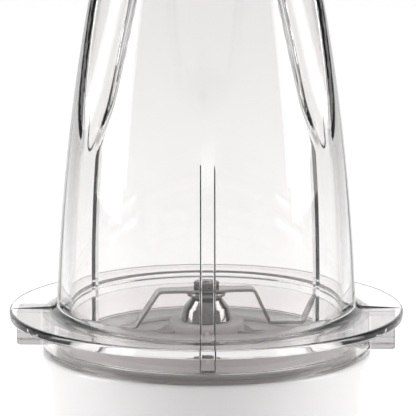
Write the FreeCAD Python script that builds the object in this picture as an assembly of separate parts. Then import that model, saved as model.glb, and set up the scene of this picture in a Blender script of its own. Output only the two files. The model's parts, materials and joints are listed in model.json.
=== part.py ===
# A compact countertop blender: an inverted clear cup on a blade unit, standing in a round
# base that holds the motor. Millimetres. The origin is on the table under the centre of the
# base, +Z is up and the speed knob faces -Y.
import FreeCAD, Part
import math
import os

os.makedirs("parts", exist_ok=True)
V = FreeCAD.Vector
UP = V(0, 0, 1)

# ---- fits ----
running_fit = 0.05          # radial, shaft in bush or bearing
slide_gap = 0.3             # air between bodies that move past each other
loose_gap = 0.6             # air round parts that lift out by hand
coupling_play = 0.4         # air round the driven star in its socket

# ---- base ----
base_height = 132.0         # table to rim
rim_radius = 52.5
skirt_radius = 67.0         # widest part of the flared housing
flare_bottom = 14.0
flare_drop = 47.0           # rim to the top of the flare
shell_wall = 2.5
rim_round = 1.2
foot_height = 4.0
foot_radius = 8.0
foot_round = 1.0
foot_circle = 50.0
cover_thickness = 2.5
cover_gap = 0.2
vent_width = 2.6
vent_count = 9
vent_pitch = 7.5            # degrees
vent_drop = 28.0            # rim to the top of the slots
vent_length = 16.0
under_vent_count = 7
under_vent_pitch = 8.0
under_vent_length = 34.0
post_radius = 5.0
post_height = 22.0
post_circle = 55.0
post_web = 2.4
screw_radius = 1.6
screw_bite = 12.0
screw_head_radius = 3.2
screw_head_height = 2.0
screw_sink = 1.0

# ---- well in the top of the base ----
well_depth = 18.0
deck_thickness = 2.5
deck_wall = 2.0
deck_gap = 0.3
deck_drop = 1.0             # deck rim below the housing rim
deck_hole_gap = 2.0         # air round the drive coupling
deck_collar = 2.0           # width and height of the collar round that hole

# ---- blade carrier ----
carrier_floor = 2.3
carrier_rise = 0.8          # carrier floor above the housing rim
carrier_skirt = 11.5        # depth below the floor
carrier_skirt_wall = 2.0
carrier_skirt_gap = 1.2
carrier_lip = 0.9
boss_radius = 12.1
boss_height = 8.2           # above the carrier floor
boss_drop = 8.5             # below the carrier floor's underside
boss_round = 0.8
gusset_count = 6
gusset_thickness = 1.4
gusset_reach = 11.5
gusset_height = 6.2
gasket_height = 1.5
gasket_inside = 8.8         # reach inside the spigot's bore

# ---- hub and cutter ----
hub_radius = 8.1
hub_side = 3.9
hub_top_radius = 5.6
hub_dome = 3.7
hub_arc_in = 0.28           # where the dome's arc passes, as shares of its width and height
hub_arc_up = 0.6
spindle_radius = 3.0
stud_radius = 2.0           # M4 end
stud_end = 0.3              # above the nut
spindle_rise = 1.0          # spindle's end above the underside of the driven coupling
bush_radius = 7.0
bush_length = 6.0
washer_radius = 6.2
washer_thickness = 1.2
blade_thickness = 1.0
blade_width = 5.2
blade_hub_radius = 5.4
nut_flats = 7.0             # across flats, M4
nut_height = 2.4
nut_crown = 0.9             # turned off the nut's corners
blade_turn = 6.0            # degrees from the X axis at rest
wing_start = 15.0           # where both wings bend down
up_wing_low = 20.0
up_wing_drop = 10.8
up_wing_flat = 31.5
up_wing_tip = 36.0
blade_tip_fall = 1.6        # turned-up tip below the blade's centre
down_wing_low = 23.2
down_wing_drop = 12.2
down_wing_tip = 34.0
seal_height = 1.6
circlip_radius = 5.0
circlip_thickness = 0.8
circlip_mouth = 2.0
star_height = 7.0
star_top_gap = 0.6          # star top below the socket's rim

# ---- cup ----
flange_radius = 62.8
flange_thickness = 3.0
cup_seat = 13.5             # flange top above the housing rim
cup_mouth_radius = 47.7     # outside, at the flange
cup_middle_radius = 41.9    # outside, half way up
cup_end_radius = 29.3       # outside, at the closed end
cup_height = 135.0          # flange top to the closed end
cup_wall = 2.6
mouth_wall = 3.9            # thicker at the mouth
shoulder_round = 9.0
junction_round = 2.6
flange_round = 0.7
spigot_length = 11.0        # flange top to the rim that stands on the gasket
spigot_radius = 47.4
dimple_radius = 11.0
dimple_depth = 1.0
bar_width = 5.0
bar_height = 0.6
bar_reach = 60.0
rib_width = 4.3             # the front rib
side_rib_width = 1.5
rib_depth = 1.8
rib_top = 58.8              # above the flange top
rib_runout = 8.0
rib_root = 1.0              # how far a rib's body reaches into the wall
flute_radius = 14.0
flute_floor = 37.7          # groove floor's radius at flute_level
flute_level = 70.0          # above the flange top
flute_slope = 0.276         # inward run of the floor per millimetre of rise, above that level
flute_ramp = 0.40           # the same below it, where the groove runs out

# ---- lock ring ----
ring_wall = 4.3
ring_height = 10.0
ring_round = 0.6
lug_reach = 60.3
lug_width = 12.0
lug_height = 8.7
lug_turn = 3.9              # degrees, how far the ring stands turned at rest
lug_round = 1.6

# ---- motor; a share is of the room between the bottom cover and the deck's posts ----
shaft_radius = 4.0
shaft_tail_share = 0.088    # below the lower bracket's plate
coupling_radius = 14.0
coupling_height = 12.0
coupling_floor = 4.0
coupling_drop = 6.0         # coupling floor below the deck's upper face
star_radius = 10.5
star_root = 7.2
star_points = 6
stack_width = 60.0
stack_share = 0.297
stack_bore = 19.0
stack_corner = 9.0
air_gap = 0.6               # armature to stack
pole_half_width = 15.0
coil_width = 8.0            # along X, in its slot
coil_depth = 7.0            # along Y
coil_inner = 17.0           # distance of the coil from the shaft along Y
coil_share = 0.089          # beyond the stack
slot_gap = 0.2
armature_slots = 12
armature_slot_width = 2.2
armature_slot_depth = 5.0
winding_radius = 15.5
winding_share = 0.078       # beyond the stack
commutator_radius = 10.0
commutator_share = 0.098
commutator_gap = 1.0
commutator_groove = 0.5     # width and depth of the grooves between its bars
bearing_radius = 9.5
bearing_share = 0.069
seat_wall = 2.0
bracket_thickness = 3.0
bracket_size = 64.0
upper_bracket_share = 0.238 # legs above the stack
lower_bracket_share = 0.257
leg_width = 9.0
leg_depth = 14.0
leg_offset = 25.5
tie_radius = 2.0
tie_tail = 2.0              # below the lower bracket's plate
fan_radius = 20.0
fan_share = 0.089
fan_gap_share = 0.06        # above the lower bracket's plate
fan_blades = 10
fan_plate = 1.5
vane_thickness = 1.2
vane_lean = 25.0            # degrees
brush_share = 0.6           # of the commutator's height
brush_length = 12.0
brush_gap = 0.2
spring_length = 5.0
spring_wire = 0.8
holder_wall = 1.2
holder_gap = 2.0            # commutator to brush holder
mount_radius = 5.0
mount_share = 0.065
mount_offset = 24.0
deck_post = 4.0

# ---- controls ----
knob_radius = 17.0
knob_depth = 12.0
knob_drop = 74.0            # rim to the knob's centre
knob_stem = 3.0
bezel_radius = 20.0
bezel_proud = 4.7           # in front of the rim
bezel_depth = 11.0
bezel_recess = 3.0
pointer_width = 2.4
pointer_depth = 1.0
pointer_drop = 2.0
grip_height = 5.5
grip_width = 7.0
grip_gap = 1.5
switch_size = 20.0
switch_depth = 11.0
lens_radius = 3.0
lens_drop = 40.0            # rim to the lens
lens_proud = 0.4
lens_bite = 2.0             # behind the housing wall
gland_radius = 8.0
gland_bore = 3.6
gland_height = 24.0
gland_inset = 0.4           # inside the housing's widest part
board_width = 40.0
board_height = 30.0
board_thickness = 1.6
board_offset = 38.0
board_rise = 1.5
board_clip = 6.0
chip_level = 10.0           # lowest components above the board's lower edge
chip_width = 7.0
chip_depth = 3.0
chip_height = 9.0
chip_pitch = 11.0
plunger_radius = 1.5
plunger_travel = 2.0
plunger_collar = 2.8
plunger_collar_height = 1.6
plunger_tail = 3.4
microswitch_length = 20.0
microswitch_width = 6.0
microswitch_height = 10.0

# ---- levels and radii that follow ----
flare_top = base_height - flare_drop
vent_high = base_height - vent_drop
vent_low = vent_high - vent_length
knob_height = base_height - knob_drop
lens_height = base_height - lens_drop
bezel_front = rim_radius + bezel_proud
shell_inner = rim_radius - shell_wall
deck_top = base_height - well_depth
deck_rim = base_height - deck_drop
well_radius = shell_inner - deck_gap - deck_wall
floor_top = base_height + carrier_rise
floor_bottom = floor_top - carrier_floor
skirt_outer = well_radius - carrier_skirt_gap
boss_top = floor_top + boss_height
boss_bottom = floor_bottom - boss_drop
upper_bush_top = boss_top - seal_height
bush_bore = spindle_radius + running_fit
circlip_top = boss_bottom - slide_gap
hub_top = boss_top + hub_side + hub_dome
washer_bottom = hub_top + slide_gap
blade_bottom = washer_bottom + washer_thickness
nut_bottom = blade_bottom + blade_thickness
cup_zero = base_height + cup_seat
cup_end = cup_zero + cup_height
flange_bottom = cup_zero - flange_thickness
spigot_bottom = cup_zero - spigot_length
spigot_bore = cup_mouth_radius - mouth_wall
ring_bore = spigot_radius + loose_gap
ring_radius = ring_bore + ring_wall
ring_top = flange_bottom - slide_gap
coupling_bottom = deck_top - coupling_drop
shaft_top = coupling_bottom + coupling_floor
star_top = coupling_bottom + coupling_height - star_top_gap
star_bottom = star_top - star_height
spindle_bottom = star_bottom + spindle_rise
coupling_hole = coupling_radius + deck_hole_gap
cover_top = foot_height + cover_thickness
deck_bottom = deck_top - deck_thickness
mount_top = deck_bottom - deck_post
motor_room = mount_top - cover_top
upper_plate = mount_top - mount_share * motor_room - bracket_thickness
stack_top = upper_plate - upper_bracket_share * motor_room
stack_bottom = stack_top - stack_share * motor_room
lower_plate = stack_bottom - lower_bracket_share * motor_room
shaft_bottom = lower_plate - shaft_tail_share * motor_room
coil_reach = coil_share * motor_room
winding_reach = winding_share * motor_room
commutator_height = commutator_share * motor_room
bearing_height = bearing_share * motor_room
fan_height = fan_share * motor_room
fan_level = lower_plate + fan_gap_share * motor_room
brush_width = brush_share * commutator_height
commutator_bottom = stack_top + winding_reach + commutator_gap
brush_level = commutator_bottom + commutator_height / 2
plunger_circle = skirt_outer - carrier_skirt_wall / 2
board_bottom = cover_top + board_rise
knob_back = bezel_front - bezel_recess + slide_gap
bezel_back = bezel_front - bezel_depth
collar_top = deck_bottom - slide_gap
microswitch_top = collar_top - plunger_tail - plunger_travel - slide_gap


def disc(radius, low, high, x=0.0, y=0.0):
    return Part.makeCylinder(radius, high - low, V(x, y, low))


def pipe(radius, bore, low, high, x=0.0, y=0.0):
    return disc(radius, low, high, x, y).cut(disc(bore, low - 1, high + 1, x, y))


def block(width, depth, low, high, x=0.0, y=0.0):
    corner = V(x - width / 2, y - depth / 2, low)
    return Part.makeBox(width, depth, high - low, corner)


def disc_along_y(radius, near, far, height, x=0.0):
    """A cylinder from y = near to y = far, axis along Y."""
    low = min(near, far)
    return Part.makeCylinder(radius, abs(far - near), V(x, low, height), V(0, 1, 0))


def turned(shape, degrees, height=0.0):
    copy = shape.copy()
    copy.rotate(V(0, 0, height), UP, degrees)
    return copy


def lathe(edges):
    """Turn a closed outline of edges in the XZ plane round the Z axis."""
    face = Part.Face(Part.Wire(Part.__sortEdges__(edges)))
    return face.revolve(V(0, 0, 0), UP, 360)


def round_edges(shape, radius, picks):
    """Round the circular edges that lie at the given (radius, height) pairs."""
    chosen = []
    for edge in shape.Edges:
        curve = edge.Curve
        if not isinstance(curve, Part.Circle):
            continue
        for pick_radius, pick_height in picks:
            near_radius = abs(curve.Radius - pick_radius) < 0.05
            near_height = abs(curve.Center.z - pick_height) < 0.05
            if near_radius and near_height:
                chosen.append(edge)
    return shape.makeFillet(radius, chosen)


def prism(points, height_low, height_high):
    """Extrude a flat outline of (x, y) points between two heights."""
    corners = [V(x, y, height_low) for x, y in points]
    face = Part.Face(Part.makePolygon(corners + corners[:1]))
    return face.extrude(V(0, 0, height_high - height_low))


def save(name, shape):
    solids = shape.Solids
    if not solids or not shape.isValid():
        raise RuntimeError(name + " is not a sound solid")
    whole = solids[0] if len(solids) == 1 else Part.makeCompound(solids)
    whole.exportStep("parts/" + name + ".step")


def places_round(count, radius, start):
    """Evenly spaced (x, y) places on a circle, the first at the start angle."""
    angles = [math.radians(start + 360.0 * index / count) for index in range(count)]
    return [(radius * math.cos(angle), radius * math.sin(angle)) for angle in angles]


screw_places = places_round(4, post_circle, 45)
foot_places = places_round(4, foot_circle, 0)
mount_places = [(mount_offset * x, mount_offset * y) for x in (1, -1) for y in (1, -1)]


# ==== base ====

def flare_radius(height):
    """Outside radius of the housing: straight above flare_top, a hollow arc below it."""
    drop = flare_top - flare_bottom
    spread = skirt_radius - rim_radius
    bend = (drop ** 2 + spread ** 2) / (2 * spread)
    below = min(max(flare_top - height, 0.0), drop)
    return rim_radius + bend - math.sqrt(bend ** 2 - below ** 2)


def housing_solid(inset, bottom, top):
    """The housing's outline turned to a solid, moved in by inset."""
    middle = (flare_top + flare_bottom) / 2
    foot = V(skirt_radius - inset, 0, flare_bottom)
    waist = V(flare_radius(middle) - inset, 0, middle)
    neck = V(rim_radius - inset, 0, flare_top)
    corners = [neck, V(rim_radius - inset, 0, top), V(0, 0, top), V(0, 0, bottom),
               V(skirt_radius - inset, 0, bottom), foot]
    edges = [Part.Arc(foot, waist, neck).toShape()]
    for start, end in zip(corners, corners[1:]):
        edges.append(Part.LineSegment(start, end).toShape())
    return lathe(edges)


def make_housing():
    outside = housing_solid(0.0, foot_height, base_height)
    outside = round_edges(outside, rim_round, [(rim_radius, base_height)])
    shell = outside.cut(housing_solid(shell_wall, foot_height - 1, base_height + 1))
    for index, (x, y) in enumerate(screw_places):
        post = disc(post_radius, cover_top, cover_top + post_height, x, y)
        web_length = skirt_radius - post_circle
        web = block(web_length, post_web, cover_top, cover_top + post_height,
                    post_circle + web_length / 2)
        web = turned(web, 45 + 90 * index)
        shell = shell.fuse(post.fuse(web).common(outside))
        shell = shell.cut(disc(screw_radius, 0, cover_top + screw_bite, x, y))
    shell = shell.cut(disc_along_y(bezel_radius, -skirt_radius, -rim_radius / 2, knob_height))
    shell = shell.cut(disc_along_y(lens_radius, -skirt_radius, -rim_radius / 2, lens_height))
    shell = shell.cut(disc_along_y(gland_radius, rim_radius / 2, skirt_radius + 1, gland_height))
    for index in range(vent_count):
        slot = block(vent_width, 2 * shell_wall + 2, vent_low, vent_high, 0, rim_radius)
        shell = shell.cut(turned(slot, (index - (vent_count - 1) / 2) * vent_pitch))
    return shell


def make_deck():
    outer = shell_inner - deck_gap
    deck = disc(outer, deck_bottom, deck_top).fuse(pipe(outer, well_radius, deck_bottom, deck_rim))
    deck = deck.fuse(disc(coupling_hole + deck_collar, deck_bottom, deck_top + deck_collar))
    for x, y in mount_places:
        deck = deck.fuse(disc(mount_radius, mount_top, deck_bottom, x, y))
    deck = deck.cut(disc(coupling_hole, 0, base_height))
    deck = deck.cut(disc(plunger_radius + slide_gap, 0, base_height, 0, plunger_circle))
    return deck.removeSplitter()


def make_cover():
    cover = disc(skirt_radius - shell_wall - cover_gap, foot_height, cover_top)
    for side in (1, -1):
        y = side * (board_width - board_clip) / 2
        clip = block(board_clip, board_clip, cover_top, board_bottom + board_clip, -board_offset, y)
        cover = cover.fuse(clip)
    cover = cover.cut(block(board_thickness, board_width, board_bottom, base_height, -board_offset))
    for x, y in screw_places:
        cover = cover.cut(disc(screw_radius, 0, base_height, x, y))
        cover = cover.cut(disc(screw_head_radius, 0, foot_height + screw_sink, x, y))
    for index in range(under_vent_count):
        offset = (index - (under_vent_count - 1) / 2) * under_vent_pitch
        cover = cover.cut(block(vent_width, under_vent_length, 0, base_height, offset))
    return cover


def make_bottom_screws():
    screws = []
    seat = foot_height + screw_sink
    for x, y in screw_places:
        head = disc(screw_head_radius, seat - screw_head_height, seat, x, y)
        screws.append(head.fuse(disc(screw_radius, seat, cover_top + screw_bite, x, y)))
    return Part.makeCompound(screws)


save("housing_shell", make_housing())
save("top_deck", make_deck())
save("bottom_cover", make_cover())
save("bottom_screws", make_bottom_screws())
for number, (foot_x, foot_y) in enumerate(foot_places, 1):
    pad = disc(foot_radius, 0, foot_height, foot_x, foot_y)
    save("rubber_foot_" + str(number), round_edges(pad, foot_round, [(foot_radius, 0)]))


# ==== motor, fixed parts ====

def rounded_plate(size, low, high):
    plate = block(size, size, low, high)
    upright = [edge for edge in plate.Edges if abs(edge.tangentAt(edge.FirstParameter).z) > 0.9]
    return plate.makeFillet(stack_corner, upright)


def coil_slots(grow, low, high):
    """The four upright legs of the field coils, made larger by grow for their slots."""
    legs = []
    for side_x in (1, -1):
        for side_y in (1, -1):
            x = side_x * (pole_half_width + coil_width / 2)
            y = side_y * (coil_inner + coil_depth / 2)
            legs.append(block(coil_width + 2 * grow, coil_depth + 2 * grow, low, high, x, y))
    return legs


def make_stack():
    stack = rounded_plate(stack_width, stack_bottom, stack_top)
    stack = stack.cut(disc(stack_bore, 0, base_height))
    for leg in coil_slots(slot_gap, 0, base_height):
        stack = stack.cut(leg)
    for side in (1, -1):
        stack = stack.cut(disc(tie_radius, 0, base_height, side * leg_offset))
    return stack


def make_coil(side):
    low = stack_bottom - coil_reach
    high = stack_top + coil_reach
    y = side * (coil_inner + coil_depth / 2)
    outer = block(2 * (pole_half_width + coil_width), coil_depth, low, high, 0, y)
    inner_low = stack_bottom - slot_gap
    inner_high = stack_top + slot_gap
    return outer.cut(block(2 * pole_half_width, 2 * coil_depth, inner_low, inner_high, 0, y))


def make_bracket(plate_low, leg_low, leg_high):
    """A bearing plate on two legs that stand on the stack."""
    seat_low = plate_low + bracket_thickness / 2 - bearing_height / 2
    bracket = rounded_plate(bracket_size, plate_low, plate_low + bracket_thickness)
    seat = disc(bearing_radius + seat_wall, seat_low, seat_low + bearing_height)
    bracket = bracket.fuse(seat).cut(disc(bearing_radius, 0, base_height))
    for side in (1, -1):
        bracket = bracket.fuse(block(leg_width, leg_depth, leg_low, leg_high, side * leg_offset))
        bracket = bracket.cut(disc(tie_radius, 0, base_height, side * leg_offset))
    return bracket


def make_bearing(plate_low):
    low = plate_low + bracket_thickness / 2 - bearing_height / 2
    return pipe(bearing_radius, shaft_radius + running_fit, low, low + bearing_height)


def make_tie_screws():
    screws = []
    top = upper_plate + bracket_thickness
    for side in (1, -1):
        stem = disc(tie_radius, lower_plate - tie_tail, top, side * leg_offset)
        head = disc(2 * tie_radius, top, top + tie_radius, side * leg_offset)
        screws.append(stem.fuse(head))
    return Part.makeCompound(screws)


def make_brush(side):
    near = commutator_radius + running_fit
    y = side * (near + brush_length / 2)
    half = brush_width / 2
    return block(brush_width, brush_length, brush_level - half, brush_level + half, 0, y)


def make_brush_spring(side):
    start = commutator_radius + running_fit + brush_length
    turns = pipe(brush_width / 3, brush_width / 3 - spring_wire, 0, spring_length)
    turns.rotate(V(0, 0, 0), V(1, 0, 0), -90 * side)
    turns.translate(V(0, side * start, brush_level))
    return turns


def make_brush_holder(side):
    start = commutator_radius + holder_gap
    end = commutator_radius + running_fit + brush_length + spring_length + holder_wall
    y = side * (start + end) / 2
    half = brush_width / 2 + brush_gap + holder_wall
    body = block(2 * half, end - start, brush_level - half, brush_level + half, 0, y)
    hollow_half = half - holder_wall
    hollow = block(2 * hollow_half, end - start, brush_level - hollow_half,
                   brush_level + hollow_half, 0, y - side * holder_wall)
    hanger = block(2 * half, brush_width, brush_level + half, upper_plate, 0, y)
    return body.cut(hollow).fuse(hanger)


save("field_stack", make_stack())
save("field_coil_front", make_coil(-1))
save("field_coil_rear", make_coil(1))
save("upper_bearing_bracket", make_bracket(upper_plate, stack_top, upper_plate))
save("lower_bearing_bracket",
     make_bracket(lower_plate - bracket_thickness, lower_plate, stack_bottom))
save("upper_motor_bearing", make_bearing(upper_plate))
save("lower_motor_bearing", make_bearing(lower_plate - bracket_thickness))
save("motor_tie_screws", make_tie_screws())
for side_name, side in (("front", -1), ("rear", 1)):
    save("carbon_brush_" + side_name, make_brush(side))
    save("brush_spring_" + side_name, make_brush_spring(side))
    save("brush_holder_" + side_name, make_brush_holder(side))
for number, (mount_x, mount_y) in enumerate(mount_places, 1):
    low = upper_plate + bracket_thickness
    save("rubber_mount_" + str(number), disc(mount_radius, low, mount_top, mount_x, mount_y))


# ==== rotor ====

def star(points, root, tip, grow, low, high):
    """A star with rounded-off tips: wedge teeth on a hub, all made larger by grow."""
    body = disc(root + grow, low, high)
    half = math.pi * root / points / 2 + grow
    for index in range(points):
        tooth = block(tip + grow, 2 * half, low, high, (tip + grow) / 2)
        body = body.fuse(turned(tooth, 360.0 * index / points))
    return body.common(disc(tip + grow, low, high))


def make_armature_core():
    radius = stack_bore - air_gap
    core = pipe(radius, shaft_radius, stack_bottom, stack_top)
    for index in range(armature_slots):
        slot = block(armature_slot_depth + 1, armature_slot_width, 0, base_height,
                     radius - armature_slot_depth / 2 + 0.5)
        core = core.cut(turned(slot, 360.0 * index / armature_slots))
    return core


def make_winding():
    """Copper in the core's slots, joined above and below it in two thick rings."""
    low = stack_bottom - winding_reach
    high = stack_top + winding_reach
    winding = pipe(winding_radius, shaft_radius, low, stack_bottom)
    winding = winding.fuse(pipe(winding_radius, shaft_radius, stack_top, high))
    slot_floor = stack_bore - air_gap - armature_slot_depth
    for index in range(armature_slots):
        bar = block(winding_radius - slot_floor, armature_slot_width, stack_bottom, stack_top,
                    (winding_radius + slot_floor) / 2)
        bar = bar.common(pipe(winding_radius, slot_floor, stack_bottom, stack_top))
        winding = winding.fuse(turned(bar, 360.0 * index / armature_slots))
    return winding


def make_commutator():
    top = commutator_bottom + commutator_height
    commutator = pipe(commutator_radius, shaft_radius, commutator_bottom, top)
    for index in range(armature_slots):
        groove = block(2 * commutator_groove, commutator_groove, commutator_bottom, top,
                       commutator_radius)
        commutator = commutator.cut(turned(groove, 360.0 * index / armature_slots))
    return commutator


def make_fan():
    top = fan_level + fan_height
    fan = disc(fan_radius, fan_level, fan_level + fan_plate)
    fan = fan.fuse(disc(2 * shaft_radius, fan_level, top))
    for index in range(fan_blades):
        vane = block(fan_radius - shaft_radius - 1, vane_thickness, fan_level, top,
                     (fan_radius + shaft_radius) / 2)
        vane.rotate(V(fan_radius / 2, 0, 0), UP, vane_lean)
        vane = turned(vane, 360.0 * index / fan_blades).common(disc(fan_radius, 0, base_height))
        fan = fan.fuse(vane)
    return fan.cut(disc(shaft_radius, 0, base_height))


def make_drive_coupling():
    top = coupling_bottom + coupling_height
    floor = coupling_bottom + coupling_floor
    coupling = disc(coupling_radius, coupling_bottom, top)
    socket = star(star_points, star_root, star_radius, coupling_play, floor, top + 1)
    return coupling.cut(socket).cut(disc(shaft_radius, 0, floor))


save("motor_shaft", disc(shaft_radius, shaft_bottom, shaft_top))
save("armature_core", make_armature_core())
save("armature_winding", make_winding())
save("commutator", make_commutator())
save("cooling_fan", make_fan())
save("drive_coupling", make_drive_coupling())


# ==== blade unit ====

def make_carrier():
    edge = ring_bore - loose_gap
    carrier = disc(edge, floor_bottom, floor_top)
    lip = disc(shell_inner - coupling_play, deck_rim, deck_rim + carrier_lip)
    skirt = pipe(skirt_outer, skirt_outer - carrier_skirt_wall,
                 floor_bottom - carrier_skirt, floor_bottom)
    carrier = carrier.fuse(lip).fuse(skirt)
    carrier = carrier.fuse(disc(boss_radius, boss_bottom, boss_top))
    for index in range(gusset_count):
        half = gusset_thickness / 2
        top = floor_top + gusset_height
        reach = boss_radius + gusset_reach
        corners = [V(0, -half, floor_top), V(reach, -half, floor_top),
                   V(boss_radius, -half, top), V(0, -half, top)]
        gusset = Part.Face(Part.makePolygon(corners + corners[:1])).extrude(V(0, 2 * half, 0))
        carrier = carrier.fuse(turned(gusset, 360.0 * (index + 0.5) / gusset_count))
    carrier = round_edges(carrier.removeSplitter(), boss_round, [(boss_radius, boss_top)])
    return carrier.cut(disc(bush_radius, 0, cup_end))


def make_hub_cap():
    """A turned cap: a straight side, then an arc up to a small flat top."""
    side_top = boss_top + hub_side
    low = V(hub_radius, 0, boss_top)
    side = V(hub_radius, 0, side_top)
    top = V(hub_top_radius, 0, hub_top)
    middle = V(hub_radius - hub_arc_in * (hub_radius - hub_top_radius), 0,
               side_top + hub_arc_up * hub_dome)
    bore = spindle_radius + slide_gap
    bore_top = V(bore, 0, hub_top)
    bore_low = V(bore, 0, boss_top)
    edges = [Part.LineSegment(low, side).toShape(), Part.Arc(side, middle, top).toShape(),
             Part.LineSegment(top, bore_top).toShape(),
             Part.LineSegment(bore_top, bore_low).toShape(),
             Part.LineSegment(bore_low, low).toShape()]
    return lathe(edges)


def make_gasket():
    outer = spigot_radius - slide_gap
    return pipe(outer, spigot_bore - gasket_inside, floor_top, floor_top + gasket_height)


save("blade_carrier", make_carrier())
save("hub_cap", make_hub_cap())
save("cup_gasket", make_gasket())
save("shaft_seal", pipe(bush_radius, spindle_radius + slide_gap, upper_bush_top, boss_top))
save("upper_bush", pipe(bush_radius, bush_bore, upper_bush_top - bush_length, upper_bush_top))
save("lower_bush", pipe(bush_radius, bush_bore, boss_bottom, boss_bottom + bush_length))


# ==== cutter ====

def strip(points, width):
    """A flat strip bent along (x, z) points of its lower face, one sheet thick."""
    upper = []
    for index, (x, z) in enumerate(points):
        before = points[max(index - 1, 0)]
        after = points[min(index + 1, len(points) - 1)]
        first = math.atan2(z - before[1], x - before[0]) if index else None
        last = math.atan2(after[1] - z, after[0] - x) if index < len(points) - 1 else None
        first = last if first is None else first
        last = first if last is None else last
        bisector = (first + last) / 2
        length = blade_thickness / math.cos((last - first) / 2)
        upper.append((x - length * math.sin(bisector), z + length * math.cos(bisector)))
    outline = [V(x, -width / 2, z) for x, z in points + upper[::-1]]
    face = Part.Face(Part.makePolygon(outline + outline[:1]))
    return face.extrude(V(0, width, 0))


def make_blade():
    """Two wings bent down from a flat centre; only one of them turns up at its tip."""
    z = blade_bottom
    up_wing = [(0.0, z), (wing_start, z), (up_wing_low, z - up_wing_drop),
               (up_wing_flat, z - up_wing_drop), (up_wing_tip, z - blade_tip_fall)]
    down_wing = [(0.0, z), (wing_start, z), (down_wing_low, z - down_wing_drop),
                 (down_wing_tip, z - down_wing_drop)]
    first = strip(up_wing, blade_width)
    second = strip(down_wing, blade_width)
    tip_round = disc(down_wing_tip + blade_width / 2, 0, cup_end)
    second = second.common(tip_round)
    second.rotate(V(0, 0, 0), UP, 180)
    hub = disc(blade_hub_radius, z, z + blade_thickness)
    blade = first.fuse(second).fuse(hub).cut(disc(stud_radius, 0, cup_end))
    return turned(blade.removeSplitter(), blade_turn)


def make_nut():
    corner = nut_flats / math.sqrt(3)
    points = [(corner * math.cos(math.radians(60 * i)), corner * math.sin(math.radians(60 * i)))
              for i in range(6)]
    nut = prism(points, nut_bottom, nut_bottom + nut_height)
    crown = Part.makeCone(corner + nut_height, corner - nut_crown, nut_height + nut_crown,
                          V(0, 0, nut_bottom))
    return nut.common(crown).cut(disc(stud_radius, 0, cup_end))


def make_blade_shaft():
    stud = disc(stud_radius, washer_bottom, nut_bottom + nut_height + stud_end)
    return disc(spindle_radius, spindle_bottom, washer_bottom).fuse(stud)


def make_circlip():
    ring = pipe(circlip_radius, spindle_radius, circlip_top - circlip_thickness, circlip_top)
    return ring.cut(block(2 * circlip_radius, circlip_mouth, 0, base_height, circlip_radius))


save("blade_shaft", make_blade_shaft())
save("seat_washer", pipe(washer_radius, stud_radius, washer_bottom, blade_bottom))
save("cutter_blade", make_blade())
save("blade_nut", make_nut())
save("circlip", make_circlip())
driven = star(star_points, star_root, star_radius, 0.0, star_bottom, star_top)
save("driven_coupling", driven.cut(disc(spindle_radius, spindle_bottom, base_height)))


# ==== lock ring ====

def make_lock_ring():
    ring_low = ring_top - ring_height
    ring = disc(ring_radius, ring_low, ring_top)
    ring = round_edges(ring, ring_round, [(ring_radius, ring_low), (ring_radius, ring_top)])
    for side in (1, -1):
        length = lug_reach - ring_bore
        lug = block(length, lug_width, ring_top - lug_height, ring_top,
                    side * (lug_reach + ring_bore) / 2)
        upright = [edge for edge in lug.Edges
                   if abs(edge.tangentAt(edge.FirstParameter).z) > 0.9
                   and abs(edge.CenterOfMass.x) > ring_radius]
        ring = ring.fuse(lug.makeFillet(lug_round, upright))
    return turned(ring.cut(disc(ring_bore, 0, cup_end)).removeSplitter(), -lug_turn)


save("lock_ring", make_lock_ring())


# ==== cup ====

def arc_through(mouth, middle, end, start_height):
    """The arc of the cup's side, from the flange to the closed end."""
    return Part.Arc(V(mouth, 0, start_height), V(middle, 0, start_height + cup_height / 2),
                    V(end, 0, start_height + cup_height))


def bell(inset_mouth, inset, low, high):
    """The bell-shaped solid of the cup, moved in from its outside, between two heights."""
    side = arc_through(cup_mouth_radius - inset_mouth, cup_middle_radius - inset,
                       cup_end_radius - inset, cup_zero)
    mouth = V(cup_mouth_radius - inset_mouth, 0, cup_zero)
    end = V(cup_end_radius - inset, 0, cup_end)
    foot = min(low, cup_zero - 1)
    corners = [end, V(0, 0, cup_end), V(0, 0, foot), V(mouth.x, 0, foot), mouth]
    edges = [side.toShape()]
    for start, stop in zip(corners, corners[1:]):
        edges.append(Part.LineSegment(start, stop).toShape())
    return lathe(edges).common(disc(cup_end_radius + cup_mouth_radius, low, high))


def flute(grow, index):
    """A round-bottomed groove whose floor leans in as it rises, more steeply at its lower end.

    Two cylinders meet in a ball at the level where the lean changes; grow makes them larger
    without moving their axes."""
    upper = math.atan(flute_slope)
    lower = math.atan(flute_ramp)
    radius = flute_radius + grow
    bisector = (upper + lower) / 2
    reach = flute_radius / math.cos((lower - upper) / 2)
    joint = V(flute_floor + reach * math.cos(bisector), 0,
              cup_zero + flute_level + reach * math.sin(bisector))
    shank = Part.makeCylinder(radius, cup_height, joint, V(-math.sin(upper), 0, math.cos(upper)))
    ramp = Part.makeCylinder(radius, cup_height, joint, V(math.sin(lower), 0, -math.cos(lower)))
    groove = shank.fuse(ramp).fuse(Part.makeSphere(radius, joint))
    return turned(groove, 90 + 120 * index)


def inner_radius_at(height):
    """Radius of the cup's inner wall at a height above the table."""
    side = arc_through(cup_mouth_radius - mouth_wall, cup_middle_radius - cup_wall,
                       cup_end_radius - cup_wall, cup_zero).toShape().Curve
    return side.Center.x + math.sqrt(side.Radius ** 2 - (height - side.Center.z) ** 2)


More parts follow.
